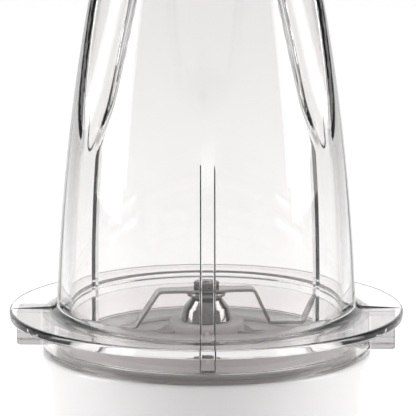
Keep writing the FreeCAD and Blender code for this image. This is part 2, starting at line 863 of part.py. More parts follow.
def rib(index):
    """One of the three ribs inside the cup, fading into the wall at its upper end."""
    low = spigot_bottom
    high = cup_zero + rib_top
    fade_start = high - rib_runout
    width = side_rib_width if index else rib_width
    bar = block(cup_mouth_radius, width, low, high, cup_mouth_radius / 2)
    bar = bar.common(bell(mouth_wall - rib_root, cup_wall - rib_root, low, high))
    bar = bar.cut(bell(mouth_wall + rib_depth, cup_wall + rib_depth, low - 1, high + 1))
    ramp = Part.makeCone(inner_radius_at(fade_start) - rib_depth, inner_radius_at(high),
                         rib_runout, V(0, 0, fade_start))
    return turned(bar.cut(ramp), -90 + 120 * index)


def make_cup():
    outside = bell(0.0, 0.0, cup_zero - flange_thickness, cup_end)
    outside = round_edges(outside, shoulder_round, [(cup_end_radius, cup_end)])
    flange = disc(flange_radius, flange_bottom, cup_zero)
    flange = round_edges(flange, flange_round, [(flange_radius, flange_bottom),
                                                (flange_radius, cup_zero)])
    body = outside.fuse(flange).fuse(disc(spigot_radius, spigot_bottom, flange_bottom + 1))
    body = round_edges(body.removeSplitter(), junction_round, [(cup_mouth_radius, cup_zero)])
    hollow = bell(mouth_wall, cup_wall, spigot_bottom - 1, cup_end - cup_wall)
    for index in range(3):
        body = body.cut(flute(0.0, index))
        hollow = hollow.cut(flute(cup_wall, index))
    body = body.cut(hollow)
    body = body.cut(disc(dimple_radius, cup_end - dimple_depth, cup_end + 1))
    for index in range(3):
        body = body.fuse(rib(index))
    start = cup_mouth_radius
    for side in (1, -1):
        bar = block(bar_reach - start, bar_width, cup_zero - 1, cup_zero + bar_height,
                    side * (bar_reach + start) / 2)
        bar = bar.fuse(disc(bar_width / 2, cup_zero - 1, cup_zero + bar_height, side * bar_reach))
        body = body.fuse(bar)
    return body


save("cup", make_cup())


# ==== controls ====

def make_bezel():
    bezel = disc_along_y(bezel_radius, -bezel_back, -bezel_front, knob_height)
    recess = disc_along_y(knob_radius + slide_gap, -bezel_front - 1,
                          -bezel_front + bezel_recess, knob_height)
    return bezel.cut(recess).cut(disc_along_y(knob_stem + slide_gap, 0, -bezel_front, knob_height))


def make_knob_pointer():
    """The pale line let into the upper end of the knob's grip."""
    corner = V(-pointer_width / 2, -knob_back - knob_depth,
               knob_height + knob_radius / 2 - pointer_drop)
    return Part.makeBox(pointer_width, pointer_depth, knob_radius / 2, corner)


def make_knob():
    """A round knob with a raised grip bar across its face."""
    face = knob_back + knob_depth - grip_height
    knob = disc_along_y(knob_radius, -knob_back, -face, knob_height)
    grip_length = 2 * (knob_radius - grip_gap)
    corner = V(-grip_width / 2, -knob_back - knob_depth, knob_height - grip_length / 2)
    grip = Part.makeBox(grip_width, knob_depth, grip_length, corner)
    knob = knob.fuse(grip.common(disc_along_y(knob_radius, 0, -2 * knob_back, knob_height)))
    socket = disc_along_y(knob_stem, 0, -knob_back - knob_depth / 2, knob_height)
    return knob.cut(make_knob_pointer()).cut(socket)


def make_switch():
    corner = V(-switch_size / 2, -bezel_back, knob_height - switch_size / 2)
    body = Part.makeBox(switch_size, switch_depth, switch_size, corner)
    bore_end = bezel_back - switch_depth / 2 - slide_gap
    return body.cut(disc_along_y(knob_stem + running_fit, -bore_end, -bezel_back - 1, knob_height))


def make_knob_stem():
    near = bezel_back - switch_depth / 2
    return disc_along_y(knob_stem, -near, -knob_back - knob_depth / 2, knob_height)


def make_board():
    """An upright circuit board with three components of growing size on its inner face."""
    face = board_thickness / 2 - board_offset
    low = board_bottom + chip_level
    board = block(board_thickness, board_width, board_bottom, board_bottom + board_height,
                  -board_offset)
    for index in range(3):
        depth = chip_depth + index
        chip = block(depth, chip_width, low, low + chip_height + 2 * index, face + depth / 2,
                     (index - 1) * chip_pitch)
        board = board.fuse(chip)
    return board


def make_gland():
    start = flare_radius(gland_height) - 3 * shell_wall
    gland = disc_along_y(gland_radius, start, skirt_radius - gland_inset, gland_height)
    return gland.cut(disc_along_y(gland_bore, 0, skirt_radius + 1, gland_height))


def make_plunger():
    """The safety pin that the blade unit's skirt presses down."""
    top = floor_bottom - carrier_skirt - slide_gap
    pin = disc(plunger_radius, collar_top - plunger_tail, top, 0, plunger_circle)
    collar = disc(plunger_collar, collar_top - plunger_collar_height, collar_top,
                  0, plunger_circle)
    return pin.fuse(collar)


def make_plunger_spring():
    outer = plunger_collar - slide_gap
    bore = plunger_radius + slide_gap
    return pipe(outer, bore, microswitch_top, collar_top - plunger_collar_height,
                0, plunger_circle)


save("knob_bezel", make_bezel())
save("speed_knob", make_knob())
save("knob_pointer", make_knob_pointer())
save("knob_stem", make_knob_stem())
save("rotary_switch", make_switch())
save("indicator_lens",
     disc_along_y(lens_radius, -rim_radius - lens_proud, -shell_inner + lens_bite, lens_height))
save("control_board", make_board())
save("cord_gland", make_gland())
save("interlock_plunger", make_plunger())
save("interlock_microswitch",
     block(microswitch_length, microswitch_width, microswitch_top - microswitch_height,
           microswitch_top, 0, plunger_circle))
save("plunger_spring", make_plunger_spring())
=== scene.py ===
import json
import math
import bpy
import numpy as np
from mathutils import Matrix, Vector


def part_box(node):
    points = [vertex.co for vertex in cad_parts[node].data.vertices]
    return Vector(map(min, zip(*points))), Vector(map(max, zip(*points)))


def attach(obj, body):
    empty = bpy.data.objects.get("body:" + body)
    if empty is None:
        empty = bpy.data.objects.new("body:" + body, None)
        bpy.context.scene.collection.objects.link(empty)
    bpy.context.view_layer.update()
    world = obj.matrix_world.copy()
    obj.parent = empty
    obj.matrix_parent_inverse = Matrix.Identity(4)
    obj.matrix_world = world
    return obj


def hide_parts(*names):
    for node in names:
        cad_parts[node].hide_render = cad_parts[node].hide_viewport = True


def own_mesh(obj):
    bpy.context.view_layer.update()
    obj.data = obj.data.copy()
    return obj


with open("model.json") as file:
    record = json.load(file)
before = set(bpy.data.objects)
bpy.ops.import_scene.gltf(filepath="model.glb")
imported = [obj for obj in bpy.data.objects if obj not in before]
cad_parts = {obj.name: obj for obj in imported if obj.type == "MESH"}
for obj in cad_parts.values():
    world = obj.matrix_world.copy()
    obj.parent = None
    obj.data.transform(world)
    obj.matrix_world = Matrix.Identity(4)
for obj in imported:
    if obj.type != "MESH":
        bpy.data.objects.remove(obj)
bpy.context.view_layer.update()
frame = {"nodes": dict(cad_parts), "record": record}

# ---- camera ----
# A long lens from about a metre away, a little above the cup's flange and almost square on.
# It looks at a point just above the flange, a hair to the right of the motor's axis.
mm = 0.001
cup_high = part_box("cup")[1]
cup_height = 135 * mm
flange_top = cup_high[2] - cup_height
azimuth = math.radians(-0.6)
elevation = math.radians(10.85)
distance = 1.2
aim_right, aim_rise = 0.55 * mm, 32.0 * mm
aim = np.array([aim_right, 0.0, flange_top + aim_rise])
towards = np.array([math.sin(azimuth) * math.cos(elevation),
                    -math.cos(azimuth) * math.cos(elevation), math.sin(elevation)])
lens = bpy.data.cameras.new("lens")
lens.lens = 327
lens.sensor_width = 36
lens.clip_end = 60
camera = bpy.data.objects.new("camera", lens)
camera.location = aim + distance * towards
camera.rotation_euler = (math.pi / 2 - elevation, 0, azimuth)
bpy.context.collection.objects.link(camera)
bpy.context.scene.camera = camera
bpy.context.scene.view_settings.view_transform = "Standard"


# ---- floor ----
# A plain pale sheet out to the horizon. Behind the blender a soft bright pool is painted into the
# floor's
# emission: painted light, such as a lamp kept off the blender itself throws on a studio table.
class Finish:
    """The nodes of a material or of the world, with the few kinds of node used here.

    place is the surface's own coordinates, or the direction looked in for the world."""

    def __init__(self, owner, shader, place="Object"):
        owner.use_nodes = True
        self.owner = owner
        self.nodes, self.links = owner.node_tree.nodes, owner.node_tree.links
        self.shader = self.nodes[shader]
        self.place = self.nodes.new("ShaderNodeTexCoord").outputs[place]

    def set(self, **values):
        """Set the shader's own sockets, with _ for a space in their names."""
        for name, value in values.items():
            self.shader.inputs[name.replace("_", " ")].default_value = value

    def feed(self, socket, output):
        """Drive one of the shader's own sockets with another node's output."""
        self.links.new(output, self.shader.inputs[socket])

    def split(self):
        """The X, Y and Z of place."""
        node = self.nodes.new("ShaderNodeSeparateXYZ")
        self.links.new(self.place, node.inputs[0])
        return node.outputs

    def sum(self, kind, *values):
        """One sum, such as ADD, MULTIPLY or MAXIMUM, of one or two values."""
        node = self.nodes.new("ShaderNodeMath")
        node.operation = kind
        for socket, value in zip(node.inputs, values):
            self.links.new(value, socket)
        return node.outputs[0]

    def scaled(self, value, low, high, start=0.0, end=1.0, kind="LINEAR"):
        """From low to high as value goes from start to end."""
        node = self.nodes.new("ShaderNodeMapRange")
        node.interpolation_type = kind
        for name, number in (("To Min", low), ("To Max", high), ("From Min", start),
                             ("From Max", end)):
            node.inputs[name].default_value = number
        self.links.new(value, node.inputs["Value"])
        return node.outputs["Result"]

    def noise(self, scale, detail, place=None):
        """Cloudy noise from 0 to 1 over place."""
        node = self.nodes.new("ShaderNodeTexNoise")
        node.inputs["Scale"].default_value = scale
        node.inputs["Detail"].default_value = detail
        self.links.new(place or self.place, node.inputs["Vector"])
        return node.outputs["Fac"]

    def colour(self, share, first, second):
        """Base colour between two colours, held within white."""
        node = self.nodes.new("ShaderNodeMix")
        node.data_type = "RGBA"
        node.inputs["A"].default_value = (*[min(c, 1) for c in first], 1)
        node.inputs["B"].default_value = (*[min(c, 1) for c in second], 1)
        self.links.new(share, node.inputs["Factor"])
        self.feed("Base Color", node.outputs["Result"])

    def bump(self, height, strength, depth):
        """Tilt the surface's shading as if it rose by depth where height is 1."""
        node = self.nodes.new("ShaderNodeBump")
        node.inputs["Strength"].default_value = strength
        node.inputs["Distance"].default_value = depth
        self.links.new(height, node.inputs["Height"])
        self.feed("Normal", node.outputs["Normal"])


def material(name):
    """A new material on the piece's own coordinates."""
    return Finish(bpy.data.materials.new(name), "Principled BSDF")


def skin(name, loops, wrap=False, flat=False):
    """A closed mesh over a grid of points: loops is (rows, points round each row, xyz).

    Every row is a closed loop and neighbouring rows are joined by quads. The first and last
    rows are drawn in to a single point each, or joined to one another when wrap is set. The
    whole is turned so that its volume is positive, which makes its faces point outwards."""
    rows, count = loops.shape[:2]
    around = np.arange(count)
    after = np.roll(around, -1)
    if wrap:
        points = loops.reshape(-1, 3)
        lower = np.arange(rows)
        upper = np.roll(lower, -1)
        caps = np.empty((0, 3), int)
    else:
        ends = np.array([loops[0].mean(axis=0), loops[-1].mean(axis=0)])
        points = np.vstack([loops.reshape(-1, 3), ends])
        lower = np.arange(rows - 1)
        upper = lower + 1
        first, last = rows * count, rows * count + 1
        start = np.stack([np.full(count, first), after, around], axis=1)
        finish = np.stack([np.full(count, last), around + (rows - 1) * count,
                           after + (rows - 1) * count], axis=1)
        caps = np.vstack([start, finish])
    a = lower[:, None] * count + around
    b = lower[:, None] * count + after
    c = upper[:, None] * count + after
    d = upper[:, None] * count + around
    quads = np.stack([a, b, c, d], axis=-1).reshape(-1, 4)
    corners = points[quads]
    spread = np.cross(corners[:, 2] - corners[:, 0], corners[:, 3] - corners[:, 1])
    volume = np.einsum("ij,ij->", corners.mean(axis=1), spread)
    if volume < 0:
        quads = quads[:, ::-1]
        caps = caps[:, ::-1]
    mesh = bpy.data.meshes.new(name)
    mesh.from_pydata(points.tolist(), [], quads.tolist() + caps.tolist())
    mesh.polygons.foreach_set("use_smooth", [not flat] * len(mesh.polygons))
    mesh.update()
    piece = bpy.data.objects.new(name, mesh)
    bpy.context.collection.objects.link(piece)
    return piece


floor_reach, floor_sides = 15.0, 96
floor_angles = np.linspace(0, 2 * math.pi, floor_sides, endpoint=False)
floor_mesh = bpy.data.meshes.new("floor")
floor_points = np.stack([floor_reach * np.cos(floor_angles), floor_reach * np.sin(floor_angles),
                         np.full(floor_sides, -0.2 * mm)], axis=1)
floor_mesh.from_pydata(floor_points.tolist(), [], [list(range(floor_sides))])
floor = bpy.data.objects.new("floor", floor_mesh)
bpy.context.collection.objects.link(floor)
pale = material("pale_floor")
pale.set(Base_Color=(0.8, 0.8, 0.8, 1), Roughness=0.7, Specular_IOR_Level=0.1,
         Emission_Color=(1, 1, 1, 1))
place = pale.split()
# Painted light: the floor's emission rises in a soft pool behind the blender, held to the middle in
# X and growing with Y.
painted_light_pool = pale.sum("MULTIPLY",
                pale.scaled(pale.sum("ABSOLUTE", place["X"]), 1.0, 0.0, 0.24, 0.55, "SMOOTHSTEP"),
                pale.scaled(place["Y"], 0.0, 1.0, 0.0, 0.35, "SMOOTHSTEP"))
pale.feed("Emission Strength", pale.scaled(painted_light_pool, 0.12, 0.52, kind="SMOOTHSTEP"))
floor.data.materials.append(pale.owner)


# ---- light ----
# A soft tent: bright behind, grey overhead, at both sides and in front. Two tall soft panels
# left and right put the long highlights on the round pieces, and a wide one hangs overhead.
tent = Finish(bpy.data.worlds.new("tent"), "Background", "Generated")
bpy.context.scene.world = tent.owner
direction = tent.split()
behind = tent.scaled(direction["Y"], 0.0, 0.75, 0.55, 0.9, "SMOOTHSTEP")
above = tent.scaled(direction["Z"], 0.0, 0.15, 0.55, 0.85, "SMOOTHSTEP")
ground = tent.scaled(direction["Z"], 0.6, 0.33, -0.1, 0.05, "SMOOTHSTEP")
tent.feed("Strength", tent.sum("ADD", tent.sum("MAXIMUM", behind, above), ground))
tent.set(Color=(1.0, 1.0, 1.0, 1))


def soft_panel(name, place, target, width, height, power):
    """A rectangular area light at place that faces target."""
    lamp = bpy.data.lights.new(name, "AREA")
    lamp.shape = "RECTANGLE"
    lamp.size = width
    lamp.size_y = height
    lamp.energy = power
    holder = bpy.data.objects.new(name, lamp)
    facing = np.array(place) - np.array(target)
    holder.location = place
    flat = math.hypot(facing[0], facing[1])
    holder.rotation_euler = (math.atan2(flat, facing[2]), 0, math.atan2(facing[0], -facing[1]))
    bpy.context.collection.objects.link(holder)


flange_middle = (0, 0, flange_top)
side_reach, side_power, top_power = 1.1, 8.5, 5
soft_panel("panel_left", (-side_reach, -0.1, 0.65), flange_middle, 0.7, 1.2, side_power)
soft_panel("panel_right", (side_reach, -0.1, 0.65), flange_middle, 0.7, 1.2, side_power)
soft_panel("panel_top", (0, 0.2, 1.6), flange_middle, 1.4, 1.4, top_power)


# ---- cup ----
# One clear moulded cup, stood upside down: a wide flange, a short spigot below it, three
# ribs inside and three round-bottomed flutes outside that deepen towards the closed end. The
# flange carries two thin raised bars. It is drawn as a closed skin with its true wall.
def rounded(points, radii, steps=5, reach=0.6 * mm):
    """A path of (a, b) points with its corners turned into arcs.

    Each corner is replaced by an arc of its radius, tangent to both sides, with one extra
    point a little before and after it, so that smooth shading stays inside the arc."""
    points = np.asarray(points, float)
    path = [points[0]]
    for before, corner, after, radius in zip(points, points[1:], points[2:], radii):
        back = (before - corner) / np.linalg.norm(before - corner)
        ahead = (after - corner) / np.linalg.norm(after - corner)
        half = math.acos(np.clip(back @ ahead, -1, 1)) / 2
        run = radius / math.tan(half)
        middle_line = (back + ahead) / np.linalg.norm(back + ahead)
        centre = corner + middle_line * radius / math.sin(half)
        sweep = np.linspace(-1, 1, steps + 1) * (math.pi / 2 - half)
        side = ahead - (ahead @ middle_line) * middle_line
        side = side / np.linalg.norm(side)
        arc = (centre - radius * np.cos(sweep)[:, None] * middle_line
               + radius * np.sin(sweep)[:, None] * side)
        room_before = np.linalg.norm(before - corner) - run
        room_after = np.linalg.norm(after - corner) - run
        path.append(corner + back * (run + min(reach, 0.4 * room_before)))
        path.extend(arc)
        path.append(corner + ahead * (run + min(reach, 0.4 * room_after)))
    path.append(points[-1])
    return np.array(path)


def arc_radius(height, mouth, middle_radius, end, span):
    """Radius at a height above the flange on the arc through three (radius, height) points."""
    half = span / 2
    a = np.array([[2 * mouth, 0, 1], [2 * middle_radius, 2 * half, 1], [2 * end, 2 * span, 1]])
    b = np.array([mouth ** 2, middle_radius ** 2 + half ** 2, end ** 2 + span ** 2])
    centre_r, centre_z, rest = np.linalg.solve(a, b)
    bend = math.sqrt(rest + centre_r ** 2 + centre_z ** 2)
    return centre_r + np.sqrt(bend ** 2 - (height - centre_z) ** 2)


def step(value, low, high):
    """A smooth step from 0 at low to 1 at high."""
    share = np.clip((value - low) / (high - low), 0, 1)
    return share * share * (3 - 2 * share)


def soft_min(first, second, blend):
    """The smaller of two values, rounded over where they differ by less than blend."""
    share = np.clip(0.5 + 0.5 * (second - first) / blend, 0, 1)
    return second + (first - second) * share - blend * share * (1 - share)


def wrapped(turn):
    """The same angle between -pi and pi."""
    return (turn + math.pi) % (2 * math.pi) - math.pi


def crowded(count, centres, offsets, reach):
    """Angles round a full turn, and an extra distance from each one along the arc.

    They are count even angles, but within reach of each centre they give way to one angle,
    the centre, repeated with each of the offsets. All are in order round the turn."""
    angles = np.linspace(0, 2 * math.pi, count, endpoint=False)
    for centre in centres:
        angles = angles[np.abs(wrapped(angles - centre)) > reach]
    base = np.concatenate([angles, np.repeat(centres, len(offsets))])
    shift = np.concatenate([np.zeros(len(angles)), np.tile(offsets, len(centres))])
    order = np.argsort((base + reach / 2 * shift / offsets.max()) % (2 * math.pi))
    return base[order], shift[order]


mouth_radius, middle_radius, end_radius = 47.7 * mm, 41.9 * mm, 29.3 * mm
on_axis = 0.001 * mm
cup_wall, mouth_wall = 2.6 * mm, 3.9 * mm
flange_radius = cup_high[0]
flange_thick = 3.0 * mm
spigot_radius = 47.4 * mm
spigot_drop = 11.0 * mm
dimple_radius, dimple_depth = 11.0 * mm, 1.0 * mm
flute_radius = 14.0 * mm
flute_floor, flute_level = 37.7 * mm, 70.0 * mm
flute_slope, flute_ramp = 0.276, 0.40
flute_blend = 1.0 * mm
rib_width, side_rib_width, rib_depth = 4.3 * mm, 1.5 * mm, 1.8 * mm
rib_top, rib_fade = 60.0 * mm, 15.0 * mm
front = -math.pi / 2
rib_angles = front + np.radians([0, 120, 240])
flute_angles = front + np.radians([60, 180, 300])


def outer_side(height):
    """Radius of the cup's outside at a height above its flange, before the flutes."""
    return arc_radius(height, mouth_radius, middle_radius, end_radius, cup_height)


def inner_side(height):
    """Radius of the cup's inside, one wall in from the outside."""
    return arc_radius(height, mouth_radius - mouth_wall, middle_radius - cup_wall,
                      end_radius - cup_wall, cup_height)


def fluted(radius, height, angle, side, grow):
    """Radius after the flutes: the side's radius is cut by three leaning circles.

    A circle of the flute's radius plus grow stands at each flute angle, and its centre moves
    in as it rises, faster below flute_level. A ray from the axis meets it at
    c cos(a) - sqrt(r^2 - c^2 sin^2(a)). Radii further in are scaled by the same share."""
    limit = side(np.clip(height, 0, cup_height))
    rise = height - flute_level
    centre = flute_floor + flute_radius - np.where(rise > 0, flute_slope, flute_ramp) * rise
    size = flute_radius + grow
    cut = limit.copy()
    for flute in flute_angles:
        turn = np.abs(wrapped(angle - flute))
        inside = size ** 2 - (centre * np.sin(turn)) ** 2
        hit = centre * np.cos(turn) - np.sqrt(np.maximum(inside, 0))
        miss = centre * np.cos(turn) + np.sqrt(np.maximum(-inside, 0)) * 1.5
        reach = np.where(inside > 0, hit, miss)
        reach = np.where(turn < math.pi / 3, reach, 1.0)
        cut = soft_min(cut, reach, flute_blend)
    share = cut / limit
    centre_calm = step(radius, 0.45 * limit, 0.8 * limit)
    return radius * (1 + (share - 1) * centre_calm)


def bounded_arc(height_low, height_high, count, side):
    """(radius, height) points along a side, evenly spaced in height."""
    heights = np.linspace(height_low, height_high, count)
    return np.stack([side(heights), heights], axis=1)


shoulder = 9.0 * mm
inner_shoulder = shoulder - cup_wall
inner_top = cup_height - cup_wall
top_corner = outer_side(np.array(cup_height))
inner_corner = inner_side(np.array(inner_top))
outer_low, outer_high = 3.4 * mm, 122.0 * mm
dimple_slope = 1.5 * mm
outer_path = rounded(
    [(on_axis, cup_height - dimple_depth),
     (dimple_radius - dimple_slope, cup_height - dimple_depth),
     (dimple_radius + dimple_slope, cup_height), (top_corner, cup_height),
     (outer_side(np.array(outer_high)), outer_high)],
    [3 * mm, 3 * mm, shoulder], 9)
wall_rows = 84
outer_wall = bounded_arc(outer_high, outer_low, wall_rows, outer_side)[1:]
lower_path = rounded(
    [(outer_side(np.array(outer_low)), outer_low), (mouth_radius, 0.0), (flange_radius, 0.0),
     (flange_radius, -flange_thick), (spigot_radius, -flange_thick),
     (spigot_radius, -spigot_drop), (mouth_radius - mouth_wall, -spigot_drop),
     (mouth_radius - mouth_wall, 1.0 * mm)],
    [2.2 * mm, 0.8 * mm, 0.8 * mm, 0.3 * mm, 0.5 * mm, 0.5 * mm], 5)[1:]
wall_end = inner_top - 9 * mm
inner_wall = bounded_arc(2.0 * mm, wall_end, wall_rows, inner_side)
inner_path = rounded([(inner_side(np.array(wall_end)), wall_end), (inner_corner, inner_top),
                      (on_axis, inner_top)], [inner_shoulder], 8)[1:]
outside_rows = len(outer_path) + len(outer_wall)
lower_rows = len(lower_path)
cup_outline = np.vstack([outer_path, outer_wall, lower_path, inner_wall, inner_path])
flange_start = lower_path[:, 0].argmax()
thirds = np.radians(120)
detail = np.array([-3.4, -2.9, -2.5, -2.3, -2.0, -1.6, -0.9, -0.6, 0.0,
                   0.6, 0.9, 1.6, 2.0, 2.3, 2.5, 2.9, 3.4])
detail_centres = np.concatenate([rib_angles % (2 * math.pi), [0.0, math.pi]])
cup_angles, detail_shift = crowded(270, detail_centres, detail * mm, math.radians(5.6))
radius_grid = np.repeat(cup_outline[:, :1], len(cup_angles), axis=1)
angle_grid = cup_angles + detail_shift / np.maximum(radius_grid, 38 * mm)
height_grid = np.repeat(cup_outline[:, 1:], len(cup_angles), axis=1)
row = np.arange(len(cup_outline))[:, None]
is_outer = row < outside_rows
is_inner = row >= outside_rows + lower_rows
radius_grid = np.where(is_outer, fluted(radius_grid, height_grid, angle_grid, outer_side, 0.0),
                       radius_grid)
radius_grid = np.where(is_inner, fluted(radius_grid, height_grid, angle_grid, inner_side, cup_wall),
                       radius_grid)
turn_from_rib = (angle_grid - front + thirds / 2) % thirds - thirds / 2
rib_offset = np.abs(radius_grid * np.sin(turn_from_rib))
rib_edge = 0.15 * mm
half_rib = np.where(np.abs(wrapped(angle_grid - front)) < 0.2, rib_width, side_rib_width) / 2
rib_share = 1 - step(rib_offset, half_rib - rib_edge, half_rib + rib_edge)
rib_share = rib_share * (1 - step(height_grid, rib_top - rib_fade, rib_top))
inside_bore = (row >= outside_rows + lower_rows - 2) | (
    (row > outside_rows + flange_start) & (radius_grid < mouth_radius - mouth_wall + 0.01 * mm))
radius_grid = radius_grid - np.where(inside_bore, rib_depth * rib_share, 0.0)
bar_offset = np.abs(radius_grid * np.sin(angle_grid))
bar_end, bar_rise = 60.0 * mm, 0.6 * mm
bar_share = 1 - step(bar_offset, 2.3 * mm, 2.9 * mm)
bar_share = bar_share * (1 - step(radius_grid, bar_end, bar_end + 1.2 * mm))
on_flange = (row > outside_rows) & (height_grid > -0.01 * mm) & (radius_grid > mouth_radius)
on_flange = on_flange & (row < outside_rows + flange_start)
height_grid = height_grid + np.where(on_flange, bar_rise * bar_share, 0.0)
cup_loops = np.stack([radius_grid * np.cos(angle_grid), radius_grid * np.sin(angle_grid),
                      height_grid + flange_top], axis=-1)
cup = skin("cup_shell", cup_loops)


def clear_plastic(name, tint, wobble, roughness=0.02):
    """Polished clear plastic: a faint tint, slow waves from the mould and fine rub marks."""
    finish = material(name)
    finish.bump(finish.noise(38, 2), wobble, 0.4 * mm)
    rub = finish.noise(900, 4)
    finish.feed("Roughness", finish.scaled(rub, roughness * 0.5, roughness * 2.0, 0.45, 0.75))
    finish.set(Base_Color=(*tint, 1), Transmission_Weight=1.0, IOR=1.5)
    return finish.owner


cup.data.materials.append(clear_plastic("clear_cup", (0.93, 0.918, 0.916), 0.05))
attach(cup, "cup_body")
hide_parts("cup")


# ---- lock ring ----
# The clear collar under the flange, with a solid clear lug at each side for the hand to push
# against. It is one moulding, and stands turned a few degrees. A fine groove runs round each
# lug, whose thicker plastic is denser to look through.
def even_angles(count):
    """Angles evenly spaced round one turn."""
    return np.linspace(0, 2 * math.pi, count, endpoint=False)


def lathe(name, path, count=128, wrap=False):
    """A path of (radius, height) points carried round the Z axis."""
    angles = even_angles(count)
    loops = np.stack([path[:, :1] * np.cos(angles), path[:, :1] * np.sin(angles),
                      np.repeat(path[:, 1:], count, axis=1)], axis=-1)
    return skin(name, loops, wrap)


def closed_ring(corners, radii, steps=4):
    """A closed rounded outline: the corners are walked round once, starting half way along."""
    corners = np.asarray(corners, float)
    start = (corners[-1] + corners[0]) / 2
    path = rounded(np.vstack([[start], corners, [start]]), radii, steps)
    return path[:-1]


def hoop(name, bore, radius, low, high, radii, count):
    """A turned ring of rectangular section, its corner radii given from the top of the bore."""
    corners = [(bore, high), (radius, high), (radius, low), (bore, low)]
    return lathe(name, closed_ring(corners, radii), count, wrap=True)


ring_low, ring_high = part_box("lock_ring")
ring_bore, ring_radius = 48.0 * mm, 52.3 * mm
ring = hoop("lock_collar", ring_bore, ring_radius, ring_low[2], ring_high[2],
            [0.5 * mm, 0.7 * mm, 0.7 * mm, 0.5 * mm], 200)
lug_reach, lug_width, lug_height = 60.3 * mm, 12.0 * mm, 8.7 * mm
lug_turn = math.radians(-3.9)


def rounded_rectangle(low_x, high_x, low_y, high_y, radius, steps=5):
    """A rectangle's outline with its four corners rounded."""
    return closed_ring([(low_x, low_y), (high_x, low_y), (high_x, high_y), (low_x, high_y)],
                       [radius] * 4, steps)


def slab(name, outline, low, high, edge_round, steps=4, flat=False):
    """A flat piece: a closed (x, y) outline lifted from low to high, with rounded rims.

    At the rims the outline is moved in along its own normals by edge_round (1 - cos a)
    while the height moves by edge_round (1 - sin a). The two faces close on their centres."""
    ahead = np.roll(outline, -1, axis=0) - np.roll(outline, 1, axis=0)
    normal = np.stack([ahead[:, 1], -ahead[:, 0]], axis=1)
    normal = normal / np.linalg.norm(normal, axis=1)[:, None]
    centre = outline.mean(axis=0)
    if np.einsum("ij,ij->", normal, outline - centre) < 0:
        normal = -normal
    sweep = np.linspace(0, math.pi / 2, steps + 1)
    levels = [(low, edge_round, 0.5), (low, edge_round, 0.9)]
    levels += [(low + edge_round * (1 - math.sin(a)), edge_round * (1 - math.cos(a)), 1)
               for a in sweep[::-1]]
    levels += [(high - edge_round * (1 - math.sin(a)), edge_round * (1 - math.cos(a)), 1)
               for a in sweep]
    levels += [(high, edge_round, 0.9), (high, edge_round, 0.5)]
    loops = []
    for height, inset, share in levels:
        flat_loop = centre + (outline - normal * inset - centre) * share
        loops.append(np.column_stack([flat_loop, np.full(len(outline), height)]))
    return skin(name, np.array(loops), flat=flat)


def mesh_points(piece):
    """The piece's mesh points, one row each."""
    points = np.empty(len(piece.data.vertices) * 3)
    piece.data.vertices.foreach_get("co", points)
    return points.reshape(-1, 3)


def set_points(piece, points):
    """Put the piece's mesh points at new places, given one row each."""
    piece.data.vertices.foreach_set("co", np.ascontiguousarray(points).ravel())
    piece.data.update()


def turn_mesh(piece, angle):
    """Turn a piece's mesh about the Z axis, its object staying where it is."""
    x, y, z = mesh_points(piece).T
    turned = [x * math.cos(angle) - y * math.sin(angle), x * math.sin(angle) + y * math.cos(angle)]
    set_points(piece, np.stack(turned + [z], axis=1))


def shift_mesh(piece, offset):
    """Move a piece's mesh, its object staying where it is."""
    set_points(piece, mesh_points(piece) + np.array(offset))


def face_front(piece, front_y, height):
    """Lay a piece that was made upright on its back, so that its lower end faces -Y.

    A point (x, y, z) goes to (x, front_y + z, height + y). That mirrors the piece, so its faces
    are turned over as well."""
    x, y, z = mesh_points(piece).T
    piece.data.flip_normals()
    set_points(piece, np.stack([x, front_y + z, height + y], axis=1))


def crisp(piece, degrees):
    """Shade edges steeper than this angle as hard ones."""
    piece.data.set_sharp_from_angle(angle=math.radians(degrees))


def joined(piece, others, sharp_degrees=38, operation="UNION"):
    """Make a piece one closed skin with others, or cut them out of it, and remove the others."""
    for other in others:
        change = piece.modifiers.new("change", "BOOLEAN")
        change.operation = operation
        change.solver = "MANIFOLD"
        change.object = other
    graph = bpy.context.evaluated_depsgraph_get()
    mesh = bpy.data.meshes.new_from_object(piece.evaluated_get(graph))
    piece.modifiers.clear()
    piece.data = mesh
    for other in others:
        bpy.data.objects.remove(other)
    mesh.materials.clear()
    crisp(piece, sharp_degrees)


def denser_beyond(made, radius, tint):
    """Take a plastic's tint over to a darker one where it lies further out than a radius.

    The share of the darker tint is (sqrt(x^2 + y^2) - radius) / 1 mm, held between 0 and 1."""
    finish = Finish(made, "Principled BSDF")
    level = finish.nodes.new("ShaderNodeVectorMath")
    level.operation = "MULTIPLY"
    level.inputs[1].default_value = (1, 1, 0)
    finish.links.new(finish.place, level.inputs[0])
    distance = finish.nodes.new("ShaderNodeVectorMath")
    distance.operation = "LENGTH"
    finish.links.new(level.outputs["Vector"], distance.inputs[0])
    share = finish.scaled(distance.outputs["Value"], 0, 1, radius, radius + 1.0 * mm)
    finish.colour(share, finish.shader.inputs["Base Color"].default_value[:3], tint)
    return made


lug_foot = ring_high[2] - lug_height
lug_line, lug_edge, lug_overlap = 2.4 * mm, 0.5 * mm, 0.15 * mm
lug_outline = rounded_rectangle(ring_bore + 1.2 * mm, lug_reach, -lug_width / 2, lug_width / 2,
                                1.5 * mm)
lug_halves = {"foot": (lug_foot, lug_foot + lug_line + lug_overlap),
              "head": (lug_foot + lug_line - lug_overlap, ring_high[2] - 0.05 * mm)}
lugs = []
for side, side_turn in (("right", 0.0), ("left", math.pi)):
    for half, levels in lug_halves.items():
        lug = slab("lug_" + side + "_" + half, lug_outline, *levels, lug_edge)
        turn_mesh(lug, side_turn + lug_turn)
        lugs.append(lug)
joined(ring, lugs)
ring_clear = clear_plastic("clear_ring", (0.86, 0.84, 0.836), 0.04, 0.04)
ring.data.materials.append(denser_beyond(ring_clear, ring_radius, (0.50, 0.485, 0.48)))
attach(ring, "ring")
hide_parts("lock_ring")


